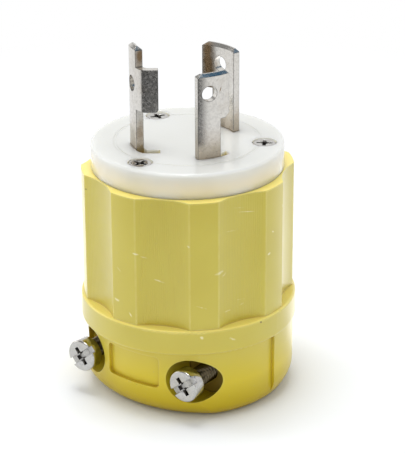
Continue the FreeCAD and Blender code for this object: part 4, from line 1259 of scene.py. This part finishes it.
def background_rays(tree: Tree) -> Source:
    """Find the rays that show the background: seen, mirrored and passed through glass.

    Args:
        tree: Tree of the floor's material or the world.

    Returns:
        Output of 1 for such a ray, otherwise 0.
    """
    path = add_node(tree, "ShaderNodeLightPath").outputs
    seen = add_node(tree, "ShaderNodeMath", {0: path["Is Camera Ray"], 1: path["Is Glossy Ray"]},
                    operation="MAXIMUM")
    return add_node(tree, "ShaderNodeMath", {0: seen, 1: path["Is Transmission Ray"]}, operation="MAXIMUM")


@dataclass
class Studio:
    """Pale floor, white surroundings, soft lamps and the cards that metal mirrors."""

    floor_radius: float = 3000.0
    floor_colour: str = "#f7faff"
    floor_segments: int = 96
    glow_from: float = 38.0
    glow_full: float = 230.0
    world_level: float = 0.69
    target: tuple[float, float, float] = (0.0, 0.0, 30.0)
    softboxes: tuple[Softbox, ...] = (
        Softbox("softbox_top", (-30.0, 10.0, 620.0), (260.0, 260.0), 1.77),
        Softbox("softbox_left", (-560.0, -160.0, 300.0), (320.0, 420.0), 0.8),
    )
    cards: tuple[Card, ...] = (
        Card("card_front", 228.0, 349.0, 135.0, 420.0, "#2e2f31"),
        Card("card_high_right", -65.0, 75.0, 130.0, 480.0, "#1f5a7e", height=440.0),
        Card("card_high_left", 150.0, 255.0, 190.0, 1100.0, "#8c8c8c", height=400.0),
        Card("card_far_right", 50.0, 125.0, 27.0, 132.0, "#ffffff", level=1.9),
        Card("card_far_left", 130.0, 182.0, 27.0, 132.0, "#ffffff", level=1.9),
    )

    def build(self) -> None:
        """Build the floor, the world, the lamps and the cards."""
        bpy.context.scene.view_settings.view_transform = "Standard"
        self.build_world()
        self.build_floor()
        for softbox in self.softboxes:
            softbox.build(Vector(self.target) * MM)
        for card in self.cards:
            card.build()

    def build_world(self) -> None:
        """White surroundings for the camera and for reflections, softer as light."""
        world = bpy.data.worlds.new("white_studio")
        bpy.context.scene.world = world
        world.use_nodes = True
        tree = world.node_tree
        tree.nodes.clear()
        strength = add_node(tree, "ShaderNodeMapRange", {
            "Value": background_rays(tree), "To Min": self.world_level, "To Max": 1.0})
        glow = add_node(tree, "ShaderNodeBackground", {"Color": WHITE, "Strength": strength})
        add_node(tree, "ShaderNodeOutputWorld", {"Surface": glow})

    def build_floor(self) -> None:
        """Round pale floor that fades into the white surroundings and keeps the shadow."""
        shape = bmesh.new()
        bmesh.ops.create_circle(shape, cap_ends=True, segments=self.floor_segments,
                                radius=self.floor_radius * MM)
        mesh = bake("floor", shape)
        material, tree = start_material("paper_matt_white")
        paper = add_node(tree, "ShaderNodeBsdfDiffuse", {"Color": linear(self.floor_colour)})
        glow = add_node(tree, "ShaderNodeEmission", {"Color": WHITE, "Strength": 1.0})
        coords = add_node(tree, "ShaderNodeTexCoord").outputs["Object"]
        away = add_node(tree, "ShaderNodeVectorMath", {0: coords}, operation="LENGTH")
        far = add_node(tree, "ShaderNodeMapRange", {
            "Value": away.outputs["Value"], "From Min": self.glow_from * MM, "From Max": self.glow_full * MM})
        mixed = add_node(tree, "ShaderNodeMixShader", {
            0: overlap(tree, background_rays(tree), far), 1: paper, 2: glow})
        add_node(tree, "ShaderNodeOutputMaterial", {"Surface": mixed})
        mesh.materials.append(material)
        place("floor", mesh)


def main() -> None:
    """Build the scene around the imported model."""
    Camera().build()
    Studio().build()
    finishes = {slot: finish.build() for slot, finish in FINISHES.items()}
    threads = ThreadTree()
    Mouldings().build(finishes)
    Contacts().build(threads, finishes)
    FaceScrews().build(threads, finishes)
    CordClamp().build(threads, finishes)


if __name__ == "__main__":
    main()
